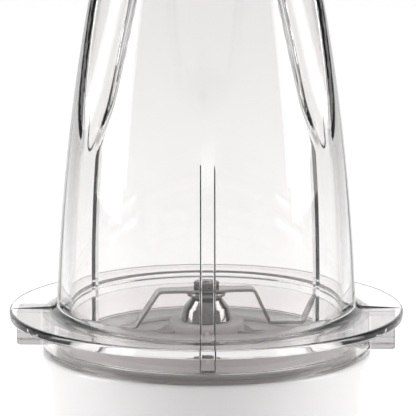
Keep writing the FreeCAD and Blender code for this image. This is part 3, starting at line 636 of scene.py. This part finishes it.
# ---- blade carrier ----
# The grey moulding that closes the cup: a floor, a skirt that drops into the well, a boss for
# the bushes and thin gussets that brace the boss against the floor.
def moulded(name, colour, roughness, grain=900, depth=0.05, variation=0.06, coat=0.0):
    """Moulded plastic: fine texture from the tool, and slow changes of shade and gloss."""
    finish = material(name)
    shades = np.outer([1 - variation, 1 + variation], colour)
    finish.colour(finish.noise(22, 3), *shades)
    texture = finish.noise(grain, 4)
    finish.feed("Roughness", finish.scaled(texture, roughness * 0.8, min(roughness * 1.25, 1)))
    finish.bump(texture, depth, 0.1 * mm)
    finish.set(Coat_Weight=coat)
    return finish.owner


carrier_low, carrier_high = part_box("blade_carrier")
gasket_low, gasket_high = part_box("cup_gasket")
floor_top = gasket_low[2]
floor_low = floor_top - 2.3 * mm
floor_edge = 47.4 * mm
lip_edge = carrier_high[0]
lip_low, lip_high = floor_top - 1.8 * mm, floor_top - 0.9 * mm
skirt_outer, skirt_inner = 46.5 * mm, 44.5 * mm
boss_radius = 12.1 * mm
boss_bore = 7.0 * mm
boss_low, boss_high = carrier_low[2], carrier_high[2]
skirt_low = floor_low - 11.5 * mm
carrier_outline = closed_ring(
    [(boss_bore, boss_high), (boss_radius, boss_high), (boss_radius, floor_top),
     (floor_edge, floor_top), (floor_edge, lip_high), (lip_edge, lip_high), (lip_edge, lip_low),
     (floor_edge, lip_low), (floor_edge, floor_low), (skirt_outer, floor_low - 0.8 * mm),
     (skirt_outer, skirt_low), (skirt_inner, skirt_low), (skirt_inner, floor_low),
     (boss_radius, floor_low), (boss_radius, boss_low), (boss_bore, boss_low)],
    [0.3 * mm, 0.8 * mm, 1.2 * mm, 0.4 * mm, 0.2 * mm, 0.3 * mm, 0.3 * mm, 0.2 * mm, 0.2 * mm,
     0.2 * mm, 0.4 * mm, 0.4 * mm, 0.8 * mm, 0.8 * mm, 0.4 * mm, 0.3 * mm])
carrier = lathe("carrier_floor", carrier_outline, 160, wrap=True)
# Painted light: this grey is set much lighter than the plastic's own, to stand in for the light the
# clear cup and collar keep off the carrier.
grey_plastic = moulded("grey_plastic", (0.76, 0.73, 0.725), 0.38)
gusset_count = 6
gusset_thick = 1.4 * mm
gusset_rise, gusset_run = 6.2 * mm, 11.5 * mm
gusset_root = 1 * mm
gusset_outline = closed_ring(
    [(boss_radius - gusset_root, floor_top - gusset_root),
     (boss_radius + gusset_run + gusset_root, floor_top - gusset_root),
     (boss_radius, floor_top + gusset_rise),
     (boss_radius - gusset_root, floor_top + gusset_rise)],
    [0.1 * mm, 0.1 * mm, 0.5 * mm, 0.1 * mm])
carrier_pieces = [carrier]
for number in range(gusset_count):
    gusset = slab("carrier_gusset_%d" % (number + 1), gusset_outline, -gusset_thick / 2,
                  gusset_thick / 2, 0.25 * mm)
    along, up, out = mesh_points(gusset).T
    angle = 2 * math.pi * (number + 0.5) / gusset_count
    set_points(gusset, np.stack([along * math.cos(angle) + out * math.sin(angle),
                                 along * math.sin(angle) - out * math.cos(angle), up], axis=1))
    carrier_pieces.append(gusset)
for piece in carrier_pieces:
    piece.data.materials.append(grey_plastic)
    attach(piece, "blade_unit")
    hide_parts("blade_carrier")


# ---- cup gasket ----
# A wide flat ring of white silicone on the carrier's floor, under the rim of the cup's spigot.
gasket_bore, gasket_lift = 35.0 * mm, 0.02 * mm
gasket = hoop("gasket_ring", gasket_bore, gasket_high[0], gasket_low[2] + gasket_lift,
              gasket_high[2], [0.4 * mm] * 4, 160)
gasket.data.materials.append(moulded("white_silicone", (0.86, 0.85, 0.845), 0.3, 500, 0.06, 0.02))
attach(gasket, "blade_unit")
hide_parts("cup_gasket")


# ---- hub cap ----
# A turned and polished steel cap over the boss: a tapered wall under a low dome.
def polished(name, colour, roughness, scale, stretch, depth):
    """Polished steel: hairline tool marks, stretched by the given scale along X, Y and Z."""
    finish = material(name)
    spread = finish.nodes.new("ShaderNodeMapping")
    spread.inputs["Scale"].default_value = stretch
    finish.links.new(finish.place, spread.inputs["Vector"])
    lines = finish.noise(scale, 5, spread.outputs["Vector"])
    finish.colour(lines, *np.outer([0.9, 1.08], colour))
    finish.feed("Roughness", finish.scaled(lines, roughness * 0.6, roughness * 1.5))
    finish.bump(lines, depth, 0.05 * mm)
    finish.set(Metallic=1.0)
    return finish.owner


cap_low, cap_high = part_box("hub_cap")
cap_radius, cap_top_radius = cap_high[0], 4.6 * mm
cap_shoulder, cap_shoulder_radius = cap_low[2] + 4.3 * mm, 7.2 * mm
cap_bore = 3.3 * mm
dome_bend = np.linspace(0, 1, 12)
dome = np.stack([cap_shoulder_radius - (cap_shoulder_radius - cap_top_radius) * dome_bend ** 0.95,
                 cap_shoulder + (cap_high[2] - cap_shoulder) * dome_bend], axis=1)
cap_outline = np.vstack([[[cap_bore, cap_low[2] + 1 * mm], [cap_bore, cap_low[2]],
                          [cap_radius - 0.3 * mm, cap_low[2]], [cap_radius, cap_low[2] + 0.3 * mm],
                          [cap_shoulder_radius + 0.15 * mm, cap_shoulder - 0.5 * mm]], dome,
                         [[cap_top_radius - 0.6 * mm, cap_high[2]], [cap_bore, cap_high[2]],
                          [cap_bore, cap_high[2] - 0.6 * mm]]])
hub_cap = lathe("hub_dome", cap_outline, 128, wrap=True)
turned_steel = polished("turned_steel", (0.36, 0.35, 0.345), 0.10, 260, (1, 1, 9), 0.08)
hub_cap.data.materials.append(turned_steel)
crisp(hub_cap, 50)
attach(hub_cap, "blade_unit")
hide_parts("hub_cap")


# ---- seat washer and nut ----
# The shoulder washer that carries the blade, and the M4 nut that clamps it. The nut's upper
# corners are turned off by a cone, as on a bought nut.
washer_low, washer_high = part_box("seat_washer")
stud_radius = 2.0 * mm
washer = hoop("shoulder_washer", stud_radius, washer_high[0], washer_low[2], washer_high[2],
              [0.1 * mm, 0.25 * mm, 0.25 * mm, 0.1 * mm], 96)
washer.data.materials.append(turned_steel)
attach(washer, "cutter")
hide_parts("seat_washer")

nut_low, nut_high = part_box("blade_nut")
nut_flats = 7.0 * mm
corner_angles = np.radians(np.arange(6) * 60)
nut_corner = nut_flats / math.sqrt(3)
hexagon = np.stack([nut_corner * np.cos(corner_angles), nut_corner * np.sin(corner_angles)], axis=1)
hex_outline = closed_ring(hexagon, [0.35 * mm] * 6, 3)
nut = slab("hex_nut", hex_outline, nut_low[2], nut_high[2], 0.12 * mm, 3)
nut_points = mesh_points(nut)
corner_reach = np.maximum(np.hypot(nut_points[:, 0], nut_points[:, 1]) - nut_flats / 2, 0)
cone_top = nut_high[2] - corner_reach * math.tan(math.radians(40))
nut_points[:, 2] = np.minimum(nut_points[:, 2], cone_top)
set_points(nut, nut_points)
crisp(nut, 30)
dark_steel = polished("dark_steel", (0.26, 0.25, 0.245), 0.24, 300, (1, 1, 4), 0.1)
nut.data.materials.append(dark_steel)
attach(nut, "cutter")
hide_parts("blade_nut")


# ---- blade ----
# One strip of stainless sheet with two wings bent down from its flat centre. The right wing
# turns up at its tip, the left one ends flat and round. Both leading edges are ground sharp.
blade_z = washer_high[2]
sheet = 1.0 * mm
half_width = 2.6 * mm
blade_turn = math.radians(6.0)
wing_start = 15.0 * mm
left_low, right_low = blade_z - 12.2 * mm, blade_z - 10.8 * mm
bends = rounded(
    [(-34.0 * mm, left_low), (-23.2 * mm, left_low), (-wing_start, blade_z),
     (wing_start, blade_z), (20.0 * mm, right_low), (31.5 * mm, right_low),
     (35.8 * mm, blade_z - 2.0 * mm)], [1.6 * mm] * 5, 6)


def resampled(path, spacing):
    """The same path with points no further apart than spacing."""
    runs = np.linalg.norm(np.diff(path, axis=0), axis=1)
    pieces = []
    for start, finish, run in zip(path, path[1:], runs):
        count = max(int(math.ceil(run / spacing)), 1)
        shares = np.arange(count)[:, None] / count
        pieces.append(start + (finish - start) * shares)
    return np.vstack(pieces + [path[-1:]])


spine = resampled(bends, 0.7 * mm)
ahead = np.gradient(spine, axis=0)
ahead = ahead / np.linalg.norm(ahead, axis=1)[:, None]
upward = np.stack([-ahead[:, 1], ahead[:, 0]], axis=1)
travel = np.concatenate([[0], np.cumsum(np.linalg.norm(np.diff(spine, axis=0), axis=1))])
from_left = travel / half_width
from_right = (travel[-1] - travel) / half_width
round_end = np.sqrt(np.clip(1 - (1 - np.clip(from_left, 0.02, 1)) ** 2, 0, 1))
point_end = np.clip(0.45 + 0.55 * np.clip(from_right / 1.6, 0, 1), 0, 1)
width = half_width * round_end * point_end
from_axis = np.abs(spine[:, 0])
width = width * (1 + 0.35 * (1 - step(from_axis, 4 * mm, 9 * mm)))
sharp = step(from_axis, 23.5 * mm, 25 * mm)
section = np.array([(-1.0, 0.5), (-0.55, 1.0), (0.0, 1.0), (0.55, 1.0), (1.0, 0.5), (1.0, 0.42),
                    (0.55, 0.0), (0.0, 0.0), (-0.55, 0.0), (-1.0, 0.42)])
square = np.array([(-1.0, 0.9), (-0.96, 1.0), (0.0, 1.0), (0.96, 1.0), (1.0, 0.9), (1.0, 0.1),
                   (0.96, 0.0), (0.0, 0.0), (-0.96, 0.0), (-1.0, 0.1)])
side_of = np.sign(spine[:, 0])[:, None]
honed = np.where(section[:, 0] * side_of > 0, 1.0, 0.0) * sharp[:, None]
across = square[:, 0] + (section[:, 0] - square[:, 0]) * honed
level = square[:, 1] + (section[:, 1] - square[:, 1]) * honed
x = spine[:, :1] + upward[:, :1] * level * sheet
z = spine[:, 1:] + upward[:, 1:] * level * sheet
y = across * width[:, None]
blade_points = np.stack([x * math.cos(blade_turn) - y * math.sin(blade_turn),
                         x * math.sin(blade_turn) + y * math.cos(blade_turn), z], axis=-1)
blade = skin("blade_strip", blade_points)
crisp(blade, 25)
blade_steel = polished("blade_steel", (0.36, 0.35, 0.345), 0.16, 420, (0.4, 6, 6), 0.06)
blade.data.materials.append(blade_steel)
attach(blade, "cutter")
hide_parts("cutter_blade")


# ---- base housing ----
# The glossy white shell of the base: straight at the top, flared to a wide foot. It is one
# moulding of even wall with a rounded rim, slotted at the back to let the motor breathe.
shell_low, shell_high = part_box("housing_shell")
rim_radius, foot_radius = 52.5 * mm, shell_high[0]
shell_wall = 2.5 * mm
flare_low, flare_high = 14.0 * mm, 85.0 * mm
flare_bend = ((flare_high - flare_low) ** 2 + (foot_radius - rim_radius) ** 2) / (
    2 * (foot_radius - rim_radius))


def flare(height):
    """Outside radius of the housing: a hollow arc below flare_high, straight above it."""
    below = np.clip(flare_high - height, 0, flare_high - flare_low)
    return rim_radius + flare_bend - np.sqrt(flare_bend ** 2 - below ** 2)


vent_low, vent_high, vent_width = 88.0 * mm, 104.0 * mm, 2.6 * mm
vent_pitch = math.radians(7.5)
vent_count = 9
bezel_low, bezel_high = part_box("knob_bezel")
knob_height = (bezel_low[2] + bezel_high[2]) / 2


def opened(name, angles, heights, radius, inward, holes):
    """A wall of quads over (angle, height), thickened inwards, with some cells left out.

    holes(angle, height) is true at the middle of the cells to leave out."""
    count = len(angles)
    grid_angle, grid_height = np.meshgrid(angles, heights)
    reach = radius(grid_height)
    points = np.stack([reach * np.cos(grid_angle), reach * np.sin(grid_angle), grid_height], -1)
    row, column = np.meshgrid(np.arange(len(heights) - 1), np.arange(count), indexing="ij")
    after = (column + 1) % count
    quads = np.stack([row * count + column, row * count + after, (row + 1) * count + after,
                      (row + 1) * count + column], axis=-1).reshape(-1, 4)
    spread = (angles[after] - angles[column] + 2 * math.pi) % (2 * math.pi)
    middle_angle = (angles[column] + spread / 2).ravel()
    middle_height = ((heights[row] + heights[row + 1]) / 2).ravel()
    kept = quads[~holes(middle_angle, middle_height)]
    used = np.unique(kept)
    place = np.full(points.shape[0] * points.shape[1], -1)
    place[used] = np.arange(len(used))
    mesh = bpy.data.meshes.new(name)
    mesh.from_pydata(points.reshape(-1, 3)[used].tolist(), [], place[kept].tolist())
    mesh.polygons.foreach_set("use_smooth", [True] * len(mesh.polygons))
    piece = bpy.data.objects.new(name, mesh)
    bpy.context.collection.objects.link(piece)
    wall = piece.modifiers.new("wall", "SOLIDIFY")
    wall.thickness = inward
    wall.offset = -1
    rim = piece.modifiers.new("rim", "BEVEL")
    rim.width = 0.5 * mm
    rim.segments = 2
    rim.limit_method = "ANGLE"
    rim.angle_limit = math.radians(50)
    return piece


vent_middles = math.pi / 2 + (np.arange(vent_count) - (vent_count - 1) / 2) * vent_pitch
vent_half = vent_width / 2 / rim_radius
shell_angles = np.sort(np.concatenate([
    np.linspace(-math.pi, math.pi, 128, endpoint=False),
    vent_middles - vent_half, vent_middles + vent_half]))
keep = np.ones(len(shell_angles), bool)
for vent in vent_middles:
    gap = np.abs(shell_angles - vent)
    keep &= (gap < 1e-9) | (gap > vent_half + 0.01) | (np.abs(gap - vent_half) < 1e-9)
shell_angles = shell_angles[keep]
rim_turn = np.linspace(0, math.pi / 2, 6)
rim_round = 1.2 * mm
shell_heights = np.concatenate([
    [shell_low[2]], np.arange(8, 84, 4) * mm, [85 * mm, vent_low, 92 * mm, 96 * mm, 100 * mm,
                                               vent_high], np.arange(108, 130, 4) * mm,
    shell_high[2] - rim_round * (1 - np.sin(rim_turn))])
shell_heights = np.unique(np.round(shell_heights, 7))


def shell_radius(height):
    """Outside radius of the housing with its upper rim rounded over."""
    over = np.clip(height - (shell_high[2] - rim_round), 0, rim_round)
    return flare(height) - (rim_round - np.sqrt(rim_round ** 2 - over ** 2))


def shell_holes(angle, height):
    """True inside a vent slot at the back, and behind the knob's bezel at the front."""
    in_band = (height > vent_low) & (height < vent_high)
    near = np.min(np.abs(angle[:, None] - vent_middles), axis=1)
    vents = in_band & (near < vent_half)
    sideways = flare(height) * np.abs(np.sin(angle + math.pi / 2))
    facing = (angle < 0) & (np.hypot(sideways, height - knob_height) < bezel_high[0] - 4 * mm)
    return vents | facing


housing = opened("housing_wall", shell_angles, shell_heights, shell_radius, shell_wall,
                 shell_holes)
gloss_white = moulded("gloss_white", (0.90, 0.885, 0.88), 0.12, 700, 0.02, 0.012, 0.3)
housing.data.materials.append(gloss_white)
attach(housing, "base")
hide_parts("housing_shell")


# ---- well ----
# The grey deck let into the top of the housing: a round well with a raised collar round the
# hole for the drive coupling.
deck_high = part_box("top_deck")[1]
well_floor = 114.0 * mm
deck_radius = deck_high[0]
well_radius = deck_radius - 2.0 * mm
deck_hole = 16.0 * mm
deck_under = well_floor - 2.5 * mm
deck_outline = closed_ring(
    [(well_radius, deck_high[2]), (deck_radius, deck_high[2]), (deck_radius, deck_under),
     (deck_hole, deck_under), (deck_hole, well_floor + 2 * mm),
     (deck_hole + 2 * mm, well_floor + 2 * mm), (deck_hole + 2 * mm, well_floor),
     (well_radius, well_floor)],
    [0.4 * mm, 0.4 * mm, 0.4 * mm, 0.3 * mm, 0.4 * mm, 0.4 * mm, 0.8 * mm, 1.5 * mm])
deck = lathe("well_deck", deck_outline, 160, wrap=True)
deck.data.materials.append(grey_plastic)
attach(deck, "base")
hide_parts("top_deck")


# ---- bottom cover ----
# The dark moulded floor of the base, held by four screws and slotted to let air to the fan.
cover_low, cover_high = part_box("bottom_cover")
cover_thick = 2.5 * mm
cover_radius = cover_high[0] - 0.05 * mm
cover_angles = even_angles(128)
cover_rim = np.stack([cover_radius * np.cos(cover_angles), cover_radius * np.sin(cover_angles)], 1)
cover = slab("cover_plate", cover_rim, cover_low[2], cover_low[2] + cover_thick, 0.4 * mm)
slot_count, slot_pitch, slot_length = 7, 8.0 * mm, 34.0 * mm
cutters = []
for number in range(slot_count):
    centre = (number - (slot_count - 1) / 2) * slot_pitch
    slot_outline = rounded_rectangle(centre - vent_width / 2, centre + vent_width / 2,
                                     -slot_length / 2, slot_length / 2, 0.9 * mm)
    cutters.append(slab("slot_%d" % number, slot_outline, cover_low[2] - 2 * mm,
                        cover_low[2] + 5 * mm, 0.2 * mm))
screw_circle, screw_hole = 55.0 * mm, 3.2 * mm
screw_angles = math.pi / 4 + even_angles(4)
hole_rim = screw_hole * np.stack([np.cos(even_angles(32)), np.sin(even_angles(32))], 1)
for number, angle in enumerate(screw_angles):
    hole = hole_rim + screw_circle * np.array([math.cos(angle), math.sin(angle)])
    cutters.append(slab("screw_hole_%d" % number, hole, cover_low[2] - 2 * mm,
                        cover_low[2] + 1.2 * mm, 0.1 * mm))
joined(cover, cutters, 30, "DIFFERENCE")
dark_plastic = moulded("dark_plastic", (0.055, 0.055, 0.06), 0.42, 650, 0.12)
cover.data.materials.append(dark_plastic)
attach(cover, "base")
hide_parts("bottom_cover")


# ---- feet ----
# Four black rubber pads pressed into the bottom cover, each with a rounded tread.
rubber = moulded("black_rubber", (0.035, 0.035, 0.035), 0.75, 500, 0.25)
foot_top = 4.0 * mm
for number in range(1, 5):
    name = "rubber_foot_%d" % number
    foot_low, foot_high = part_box(name)
    foot_middle = (np.array(foot_low[:2]) + np.array(foot_high[:2])) / 2
    foot_reach = foot_high[0] - foot_middle[0]
    pad_path = rounded([(on_axis, 0.6 * mm), (foot_reach * 0.55, 0.6 * mm),
                        (foot_reach * 0.6, 0.0), (foot_reach, 0.0), (foot_reach, foot_top),
                        (on_axis, foot_top)], [0.3 * mm, 0.3 * mm, 0.9 * mm, 0.2 * mm], 5)
    pad = lathe("foot_pad_%d" % number, pad_path, 64)
    shift_mesh(pad, (*foot_middle, foot_low[2]))
    pad.data.materials.append(rubber)
    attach(pad, "base")
    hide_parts(name)


# ---- knob bezel ----
# The dark ring let into the front of the housing, with a shallow recess for the knob.
bezel_radius = bezel_high[0]
bezel_front = bezel_low[1]
bezel_depth = bezel_high[1] - bezel_low[1]
recess_radius, recess_depth = 17.3 * mm, 3.0 * mm
stem_hole = 3.3 * mm
bezel_outline = closed_ring(
    [(stem_hole, bezel_depth), (bezel_radius, bezel_depth), (bezel_radius, 0.0),
     (recess_radius, 0.0), (recess_radius, recess_depth), (stem_hole, recess_depth)],
    [0.2 * mm, 0.4 * mm, 1.0 * mm, 0.5 * mm, 0.5 * mm, 0.2 * mm], 5)
bezel = lathe("bezel_ring", bezel_outline, 128, wrap=True)
face_front(bezel, bezel_front, knob_height)
bezel.data.materials.append(dark_plastic)
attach(bezel, "base")
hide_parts("knob_bezel")


# ---- speed knob ----
# A round grey knob with a raised grip bar across its face. A white line is let into one end
# of the bar to point at the speed.
knob_low, knob_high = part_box("speed_knob")
knob_radius = knob_high[0]
knob_front, knob_back = knob_low[1], knob_high[1]
knob_depth = knob_back - knob_front
grip_height, grip_width = 5.5 * mm, 7.0 * mm
grip_length = 2 * (knob_radius - 1.5 * mm)
disc_path = rounded([(on_axis, grip_height), (knob_radius, grip_height),
                     (knob_radius, knob_depth), (on_axis, knob_depth)],
                    [1.0 * mm, 0.4 * mm], 5)
knob_disc = lathe("knob_disc", disc_path, 128)
ridges = 36
disc_points = mesh_points(knob_disc)
disc_turn = np.arctan2(disc_points[:, 1], disc_points[:, 0])
on_side = np.hypot(disc_points[:, 0], disc_points[:, 1]) > knob_radius - 0.3 * mm
dent = np.where(on_side, 0.12 * mm * (0.5 + 0.5 * np.cos(ridges * disc_turn)), 0.0)
disc_points[:, :2] *= (1 - dent / knob_radius)[:, None]
set_points(knob_disc, disc_points)
face_front(knob_disc, knob_front, knob_height)
grip_outline = rounded_rectangle(-grip_width / 2, grip_width / 2, -grip_length / 2,
                                 grip_length / 2, 3.2 * mm, 8)
knob_grip = slab("knob_grip", grip_outline, 0.0, grip_height + 1 * mm, 0.8 * mm, 5)
face_front(knob_grip, knob_front, knob_height)
knob_plastic = moulded("knob_plastic", (0.05, 0.05, 0.055), 0.35, 800, 0.1)
pointer_low, pointer_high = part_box("knob_pointer")
line_outline = rounded_rectangle(pointer_low[0], pointer_high[0], pointer_low[2] - knob_height,
                                 pointer_high[2] - knob_height, 0.6 * mm)
knob_line = slab("knob_line", line_outline, 0.0, pointer_high[1] - pointer_low[1], 0.15 * mm)
shift_mesh(knob_line, (0, 0, -0.06 * mm))
face_front(knob_line, knob_front, knob_height)
pointer_white = moulded("pointer_white", (0.8, 0.8, 0.79), 0.4, 800, 0.03)
for piece, node, slot, plastic in ((knob_disc, "speed_knob", "dark_plastic", knob_plastic),
                                   (knob_grip, "speed_knob", "dark_plastic", knob_plastic),
                                   (knob_line, "knob_pointer", "pointer_white", pointer_white)):
    piece.data.materials.append(plastic)
    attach(piece, "knob")
    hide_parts(node)


# ---- indicator lens ----
# A small clear green window above the knob, slightly domed, with a lamp behind it.
lens_low, lens_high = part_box("indicator_lens")
lens_radius = lens_high[0]
lens_depth = lens_high[1] - lens_low[1]
dome_angles = np.linspace(0.02, 1, 8) * math.radians(60)
window_dome = np.stack([lens_radius * 0.85 * np.sin(dome_angles) / math.sin(math.radians(60)),
                        0.5 * mm * (1 - np.cos(dome_angles)) / 0.5], axis=1)
lens_path = np.vstack([window_dome, [[lens_radius - 0.05 * mm, 0.55 * mm],
                                     [lens_radius - 0.05 * mm, lens_depth],
                                     [on_axis, lens_depth]]])
window = lathe("lens_window", lens_path, 48)
face_front(window, lens_low[1], (lens_low[2] + lens_high[2]) / 2)
crisp(window, 40)
window.data.materials.append(clear_plastic("green_lens", (0.30, 0.62, 0.38), 0.05, 0.08))
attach(window, "base")
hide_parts("indicator_lens")


# ---- cord gland ----
# The rubber grommet at the back where the mains lead enters, with three grip ridges.
gland_low, gland_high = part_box("cord_gland")
gland_middle = (gland_low[2] + gland_high[2]) / 2
gland_radius = gland_high[0]
gland_length = gland_high[1] - gland_low[1]
gland_bore = 3.6 * mm
ridge = np.linspace(0, 1, 25)
ridge_reach = gland_radius - 0.35 * mm * (0.5 + 0.5 * np.cos(ridge * 3 * 2 * math.pi))
gland_side = np.stack([ridge_reach, 1.2 * mm + ridge * (gland_length - 2.4 * mm)], axis=1)
gland_path = np.vstack([[[gland_bore, gland_length - 0.8 * mm], [gland_bore, 0.8 * mm],
                         [gland_bore + 0.8 * mm, 0.0], [gland_radius - 1.2 * mm, 0.0]], gland_side,
                        [[gland_radius - 1.2 * mm, gland_length],
                         [gland_bore + 0.8 * mm, gland_length]]])
gland = lathe("gland_grommet", gland_path, 64, wrap=True)
face_front(gland, gland_low[1], gland_middle)
gland.data.materials.append(rubber)
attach(gland, "base")
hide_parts("cord_gland")


# ---- couplings and blade shaft ----
# The drive coupling is a dark socket pressed on the motor shaft, and the driven one is a
# six-pointed star on the blade's steel shaft that drops into it.
def star_radius(angle, points, root, tip, half):
    """Radius of a star at an angle: flat-sided teeth of half-width half out to the tip."""
    turn = (angle + math.pi / points) % (2 * math.pi / points) - math.pi / points
    side = half / np.maximum(np.abs(np.sin(turn)), 1e-6)
    return np.clip(side, root, tip)


star_points, star_root, star_tip = 6, 7.2 * mm, 10.5 * mm
star_half = math.pi * star_root / star_points / 2
play = 0.4 * mm
tooth_edges = [math.asin(star_half / star_root), math.asin(star_half / star_tip)]
tooth_angles = np.concatenate([centre + np.array([-1, 1])[:, None] * tooth_edges
                               for centre in even_angles(star_points)]).ravel()
star_angles = np.sort(np.concatenate([even_angles(96) + 0.002, tooth_angles]) % (2 * math.pi))


def starred(name, rows):
    """A crisp closed skin of (radius, height) rows; a radius may differ from angle to angle."""
    loops = []
    for radius, height in rows:
        radius = np.broadcast_to(radius, star_angles.shape)
        loops.append(np.stack([radius * np.cos(star_angles), radius * np.sin(star_angles),
                               np.full(star_angles.shape, height)], axis=-1))
    piece = skin(name, np.array(loops))
    crisp(piece, 35)
    return piece


coupling_low, coupling_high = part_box("drive_coupling")
socket = star_radius(star_angles, star_points, star_root + play, star_tip + play,
                     star_half + play)
coupling_rim, chamfer = coupling_high[0], 0.6 * mm
socket_floor = coupling_low[2] + 4.0 * mm
driver = starred("coupling_socket", [
    (on_axis, socket_floor), (socket * 0.8, socket_floor), (socket, socket_floor),
    (socket, coupling_high[2] - chamfer), (socket + chamfer, coupling_high[2]),
    (coupling_rim - chamfer, coupling_high[2]), (coupling_rim, coupling_high[2] - chamfer),
    (coupling_rim, coupling_low[2] + chamfer), (coupling_rim - chamfer, coupling_low[2]),
    (on_axis, coupling_low[2])])
driver.data.materials.append(dark_plastic)
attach(driver, "rotor")
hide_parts("drive_coupling")

driven_low, driven_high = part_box("driven_coupling")
star_loop = star_radius(star_angles, star_points, star_root, star_tip, star_half)
driven_edge = 0.3 * mm
driven = starred("coupling_star", [
    (on_axis, driven_low[2]), (star_loop - chamfer, driven_low[2]),
    (star_loop, driven_low[2] + chamfer), (star_loop, driven_high[2] - driven_edge),
    (star_loop - driven_edge, driven_high[2]), (on_axis, driven_high[2])])
driven.data.materials.append(dark_plastic)
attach(driven, "cutter")
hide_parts("driven_coupling")

shaft_low, shaft_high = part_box("blade_shaft")
spindle_radius = 3.0 * mm
thread_pitch, thread_depth = 0.7 * mm, 0.2 * mm
thread_heights = np.arange(washer_low[2] + 0.5 * mm, shaft_high[2] - 0.4 * mm, thread_pitch / 4)
thread_wave = 0.5 - 0.5 * np.cos(2 * math.pi * thread_heights / thread_pitch)
thread = np.stack([stud_radius - thread_depth * thread_wave, thread_heights], axis=1)
spindle_path = np.vstack([
    [[on_axis, shaft_low[2]], [spindle_radius - 0.3 * mm, shaft_low[2]],
     [spindle_radius, shaft_low[2] + 0.3 * mm], [spindle_radius, washer_low[2]],
     [stud_radius, washer_low[2]]], thread,
    [[stud_radius - 0.3 * mm, shaft_high[2]], [on_axis, shaft_high[2]]]])
spindle = lathe("blade_spindle", spindle_path, 64)
crisp(spindle, 40)
spindle.data.materials.append(dark_steel)
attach(spindle, "cutter")
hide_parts("blade_shaft")


# ---- springs ----
# Three small coil springs of steel wire: one lifts the safety pin, and two push the carbon brushes
# against the commutator. The pin's spring shortens as the pin is pressed, but it is drawn at one
# length only.
def coil_spring(name, radius, wire, turns, length):
    """Round wire wound about Z from height 0 to length.

    Its middle runs along (radius cos t, radius sin t, wire + rise t), and each row of points is
    a circle of the wire's radius across that path, tilted with it."""
    t = np.linspace(0, 2 * math.pi * turns, int(24 * turns) + 1)[:, None]
    rise = (length - 2 * wire) / t[-1]
    out = np.hstack([np.cos(t), np.sin(t), np.zeros_like(t)])
    ahead = np.hstack([-radius * np.sin(t), radius * np.cos(t), rise * np.ones_like(t)])
    ahead = ahead / np.linalg.norm(ahead, axis=1)[:, None]
    middle_line = out * radius + np.hstack([0 * t, 0 * t, wire + rise * t])
    side = np.cross(ahead, out)
    loop = even_angles(10)[None, :, None]
    rows = (middle_line[:, None] + wire * np.cos(loop) * out[:, None]
            + wire * np.sin(loop) * side[:, None])
    return skin(name, rows)


spring_steel = polished("spring_steel", (0.5, 0.5, 0.49), 0.25, 400, (1, 1, 1), 0.1)
pin_low, pin_high = (np.array(corner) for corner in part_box("plunger_spring"))
pin_middle = (pin_low + pin_high) / 2
pin_wire, pin_travel = 0.28 * mm, 2.0 * mm
pin_length = pin_high[2] - pin_low[2]
pin_coil = coil_spring("pin_spring", pin_high[0] - pin_middle[0] - pin_wire, pin_wire, 3.5,
                       pin_length)
shift_mesh(pin_coil, (pin_middle[0], pin_middle[1], pin_low[2]))
pin_coil.data.materials.append(spring_steel)
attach(pin_coil, "base")
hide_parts("plunger_spring")
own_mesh(pin_coil)
for place_name in ("front", "rear"):
    node = "brush_spring_" + place_name
    low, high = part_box(node)
    brush_wire = 0.25 * mm
    brush_coil = coil_spring("brush_coil_" + place_name, high[0] - brush_wire, brush_wire, 6,
                             high[1] - low[1])
    face_front(brush_coil, low[1], (low[2] + high[2]) / 2)
    brush_coil.data.materials.append(spring_steel)
    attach(brush_coil, "base")
    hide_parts(node)


# ---- parts inside ----
# What stays hidden in the base and the blade unit: the motor, its brackets and brushes, the
# switch, the circuit board, the safety pin, bushes and screws. Their CAD solids are kept.
def sheets(name, colour, pitch):
    """Punched steel sheets stacked along Z, the gaps between them darker and slightly sunk."""
    finish = material(name)
    lines = finish.nodes.new("ShaderNodeTexWave")
    lines.bands_direction = "Z"
    lines.inputs["Scale"].default_value = math.pi / 10 / pitch
    lines.inputs["Distortion"].default_value = 0.6
    finish.links.new(finish.place, lines.inputs["Vector"])
    finish.colour(lines.outputs["Fac"], *np.outer([0.55, 1], colour))
    finish.bump(lines.outputs["Fac"], 0.3, 0.1 * mm)
    finish.set(Metallic=0.9, Roughness=0.45)
    return finish.owner


inside = {
    "plain_steel": polished("plain_steel", (0.55, 0.55, 0.54), 0.3, 240, (1, 1, 5), 0.1),
    "polished_steel": turned_steel,
    "lamination": sheets("lamination", (0.32, 0.32, 0.33), 0.5 * mm),
    "copper": sheets("copper", (0.62, 0.30, 0.14), 0.45 * mm),
    "cast_aluminium": polished("cast_aluminium", (0.6, 0.6, 0.61), 0.5, 600, (1, 1, 1), 0.25),
    "bronze": polished("bronze", (0.5, 0.34, 0.16), 0.4, 700, (1, 1, 1), 0.2),
    "carbon": moulded("carbon", (0.03, 0.03, 0.03), 0.6, 900, 0.2),
    "board": moulded("board", (0.05, 0.20, 0.09), 0.4, 400, 0.05, 0.15),
    "plunger_plastic": moulded("plunger_plastic", (0.45, 0.45, 0.45), 0.35),
    "seal_rubber": moulded("seal_rubber", (0.36, 0.36, 0.36), 0.6, 500, 0.1),
    "rubber": rubber, "dark_plastic": dark_plastic, "grey_plastic": grey_plastic}
for part in frame["record"]["subparts"]:
    solid = frame["nodes"][part["node"]]
    if part["material_slot"] in inside:
        solid.data.materials.clear()
        solid.data.materials.append(inside[part["material_slot"]])
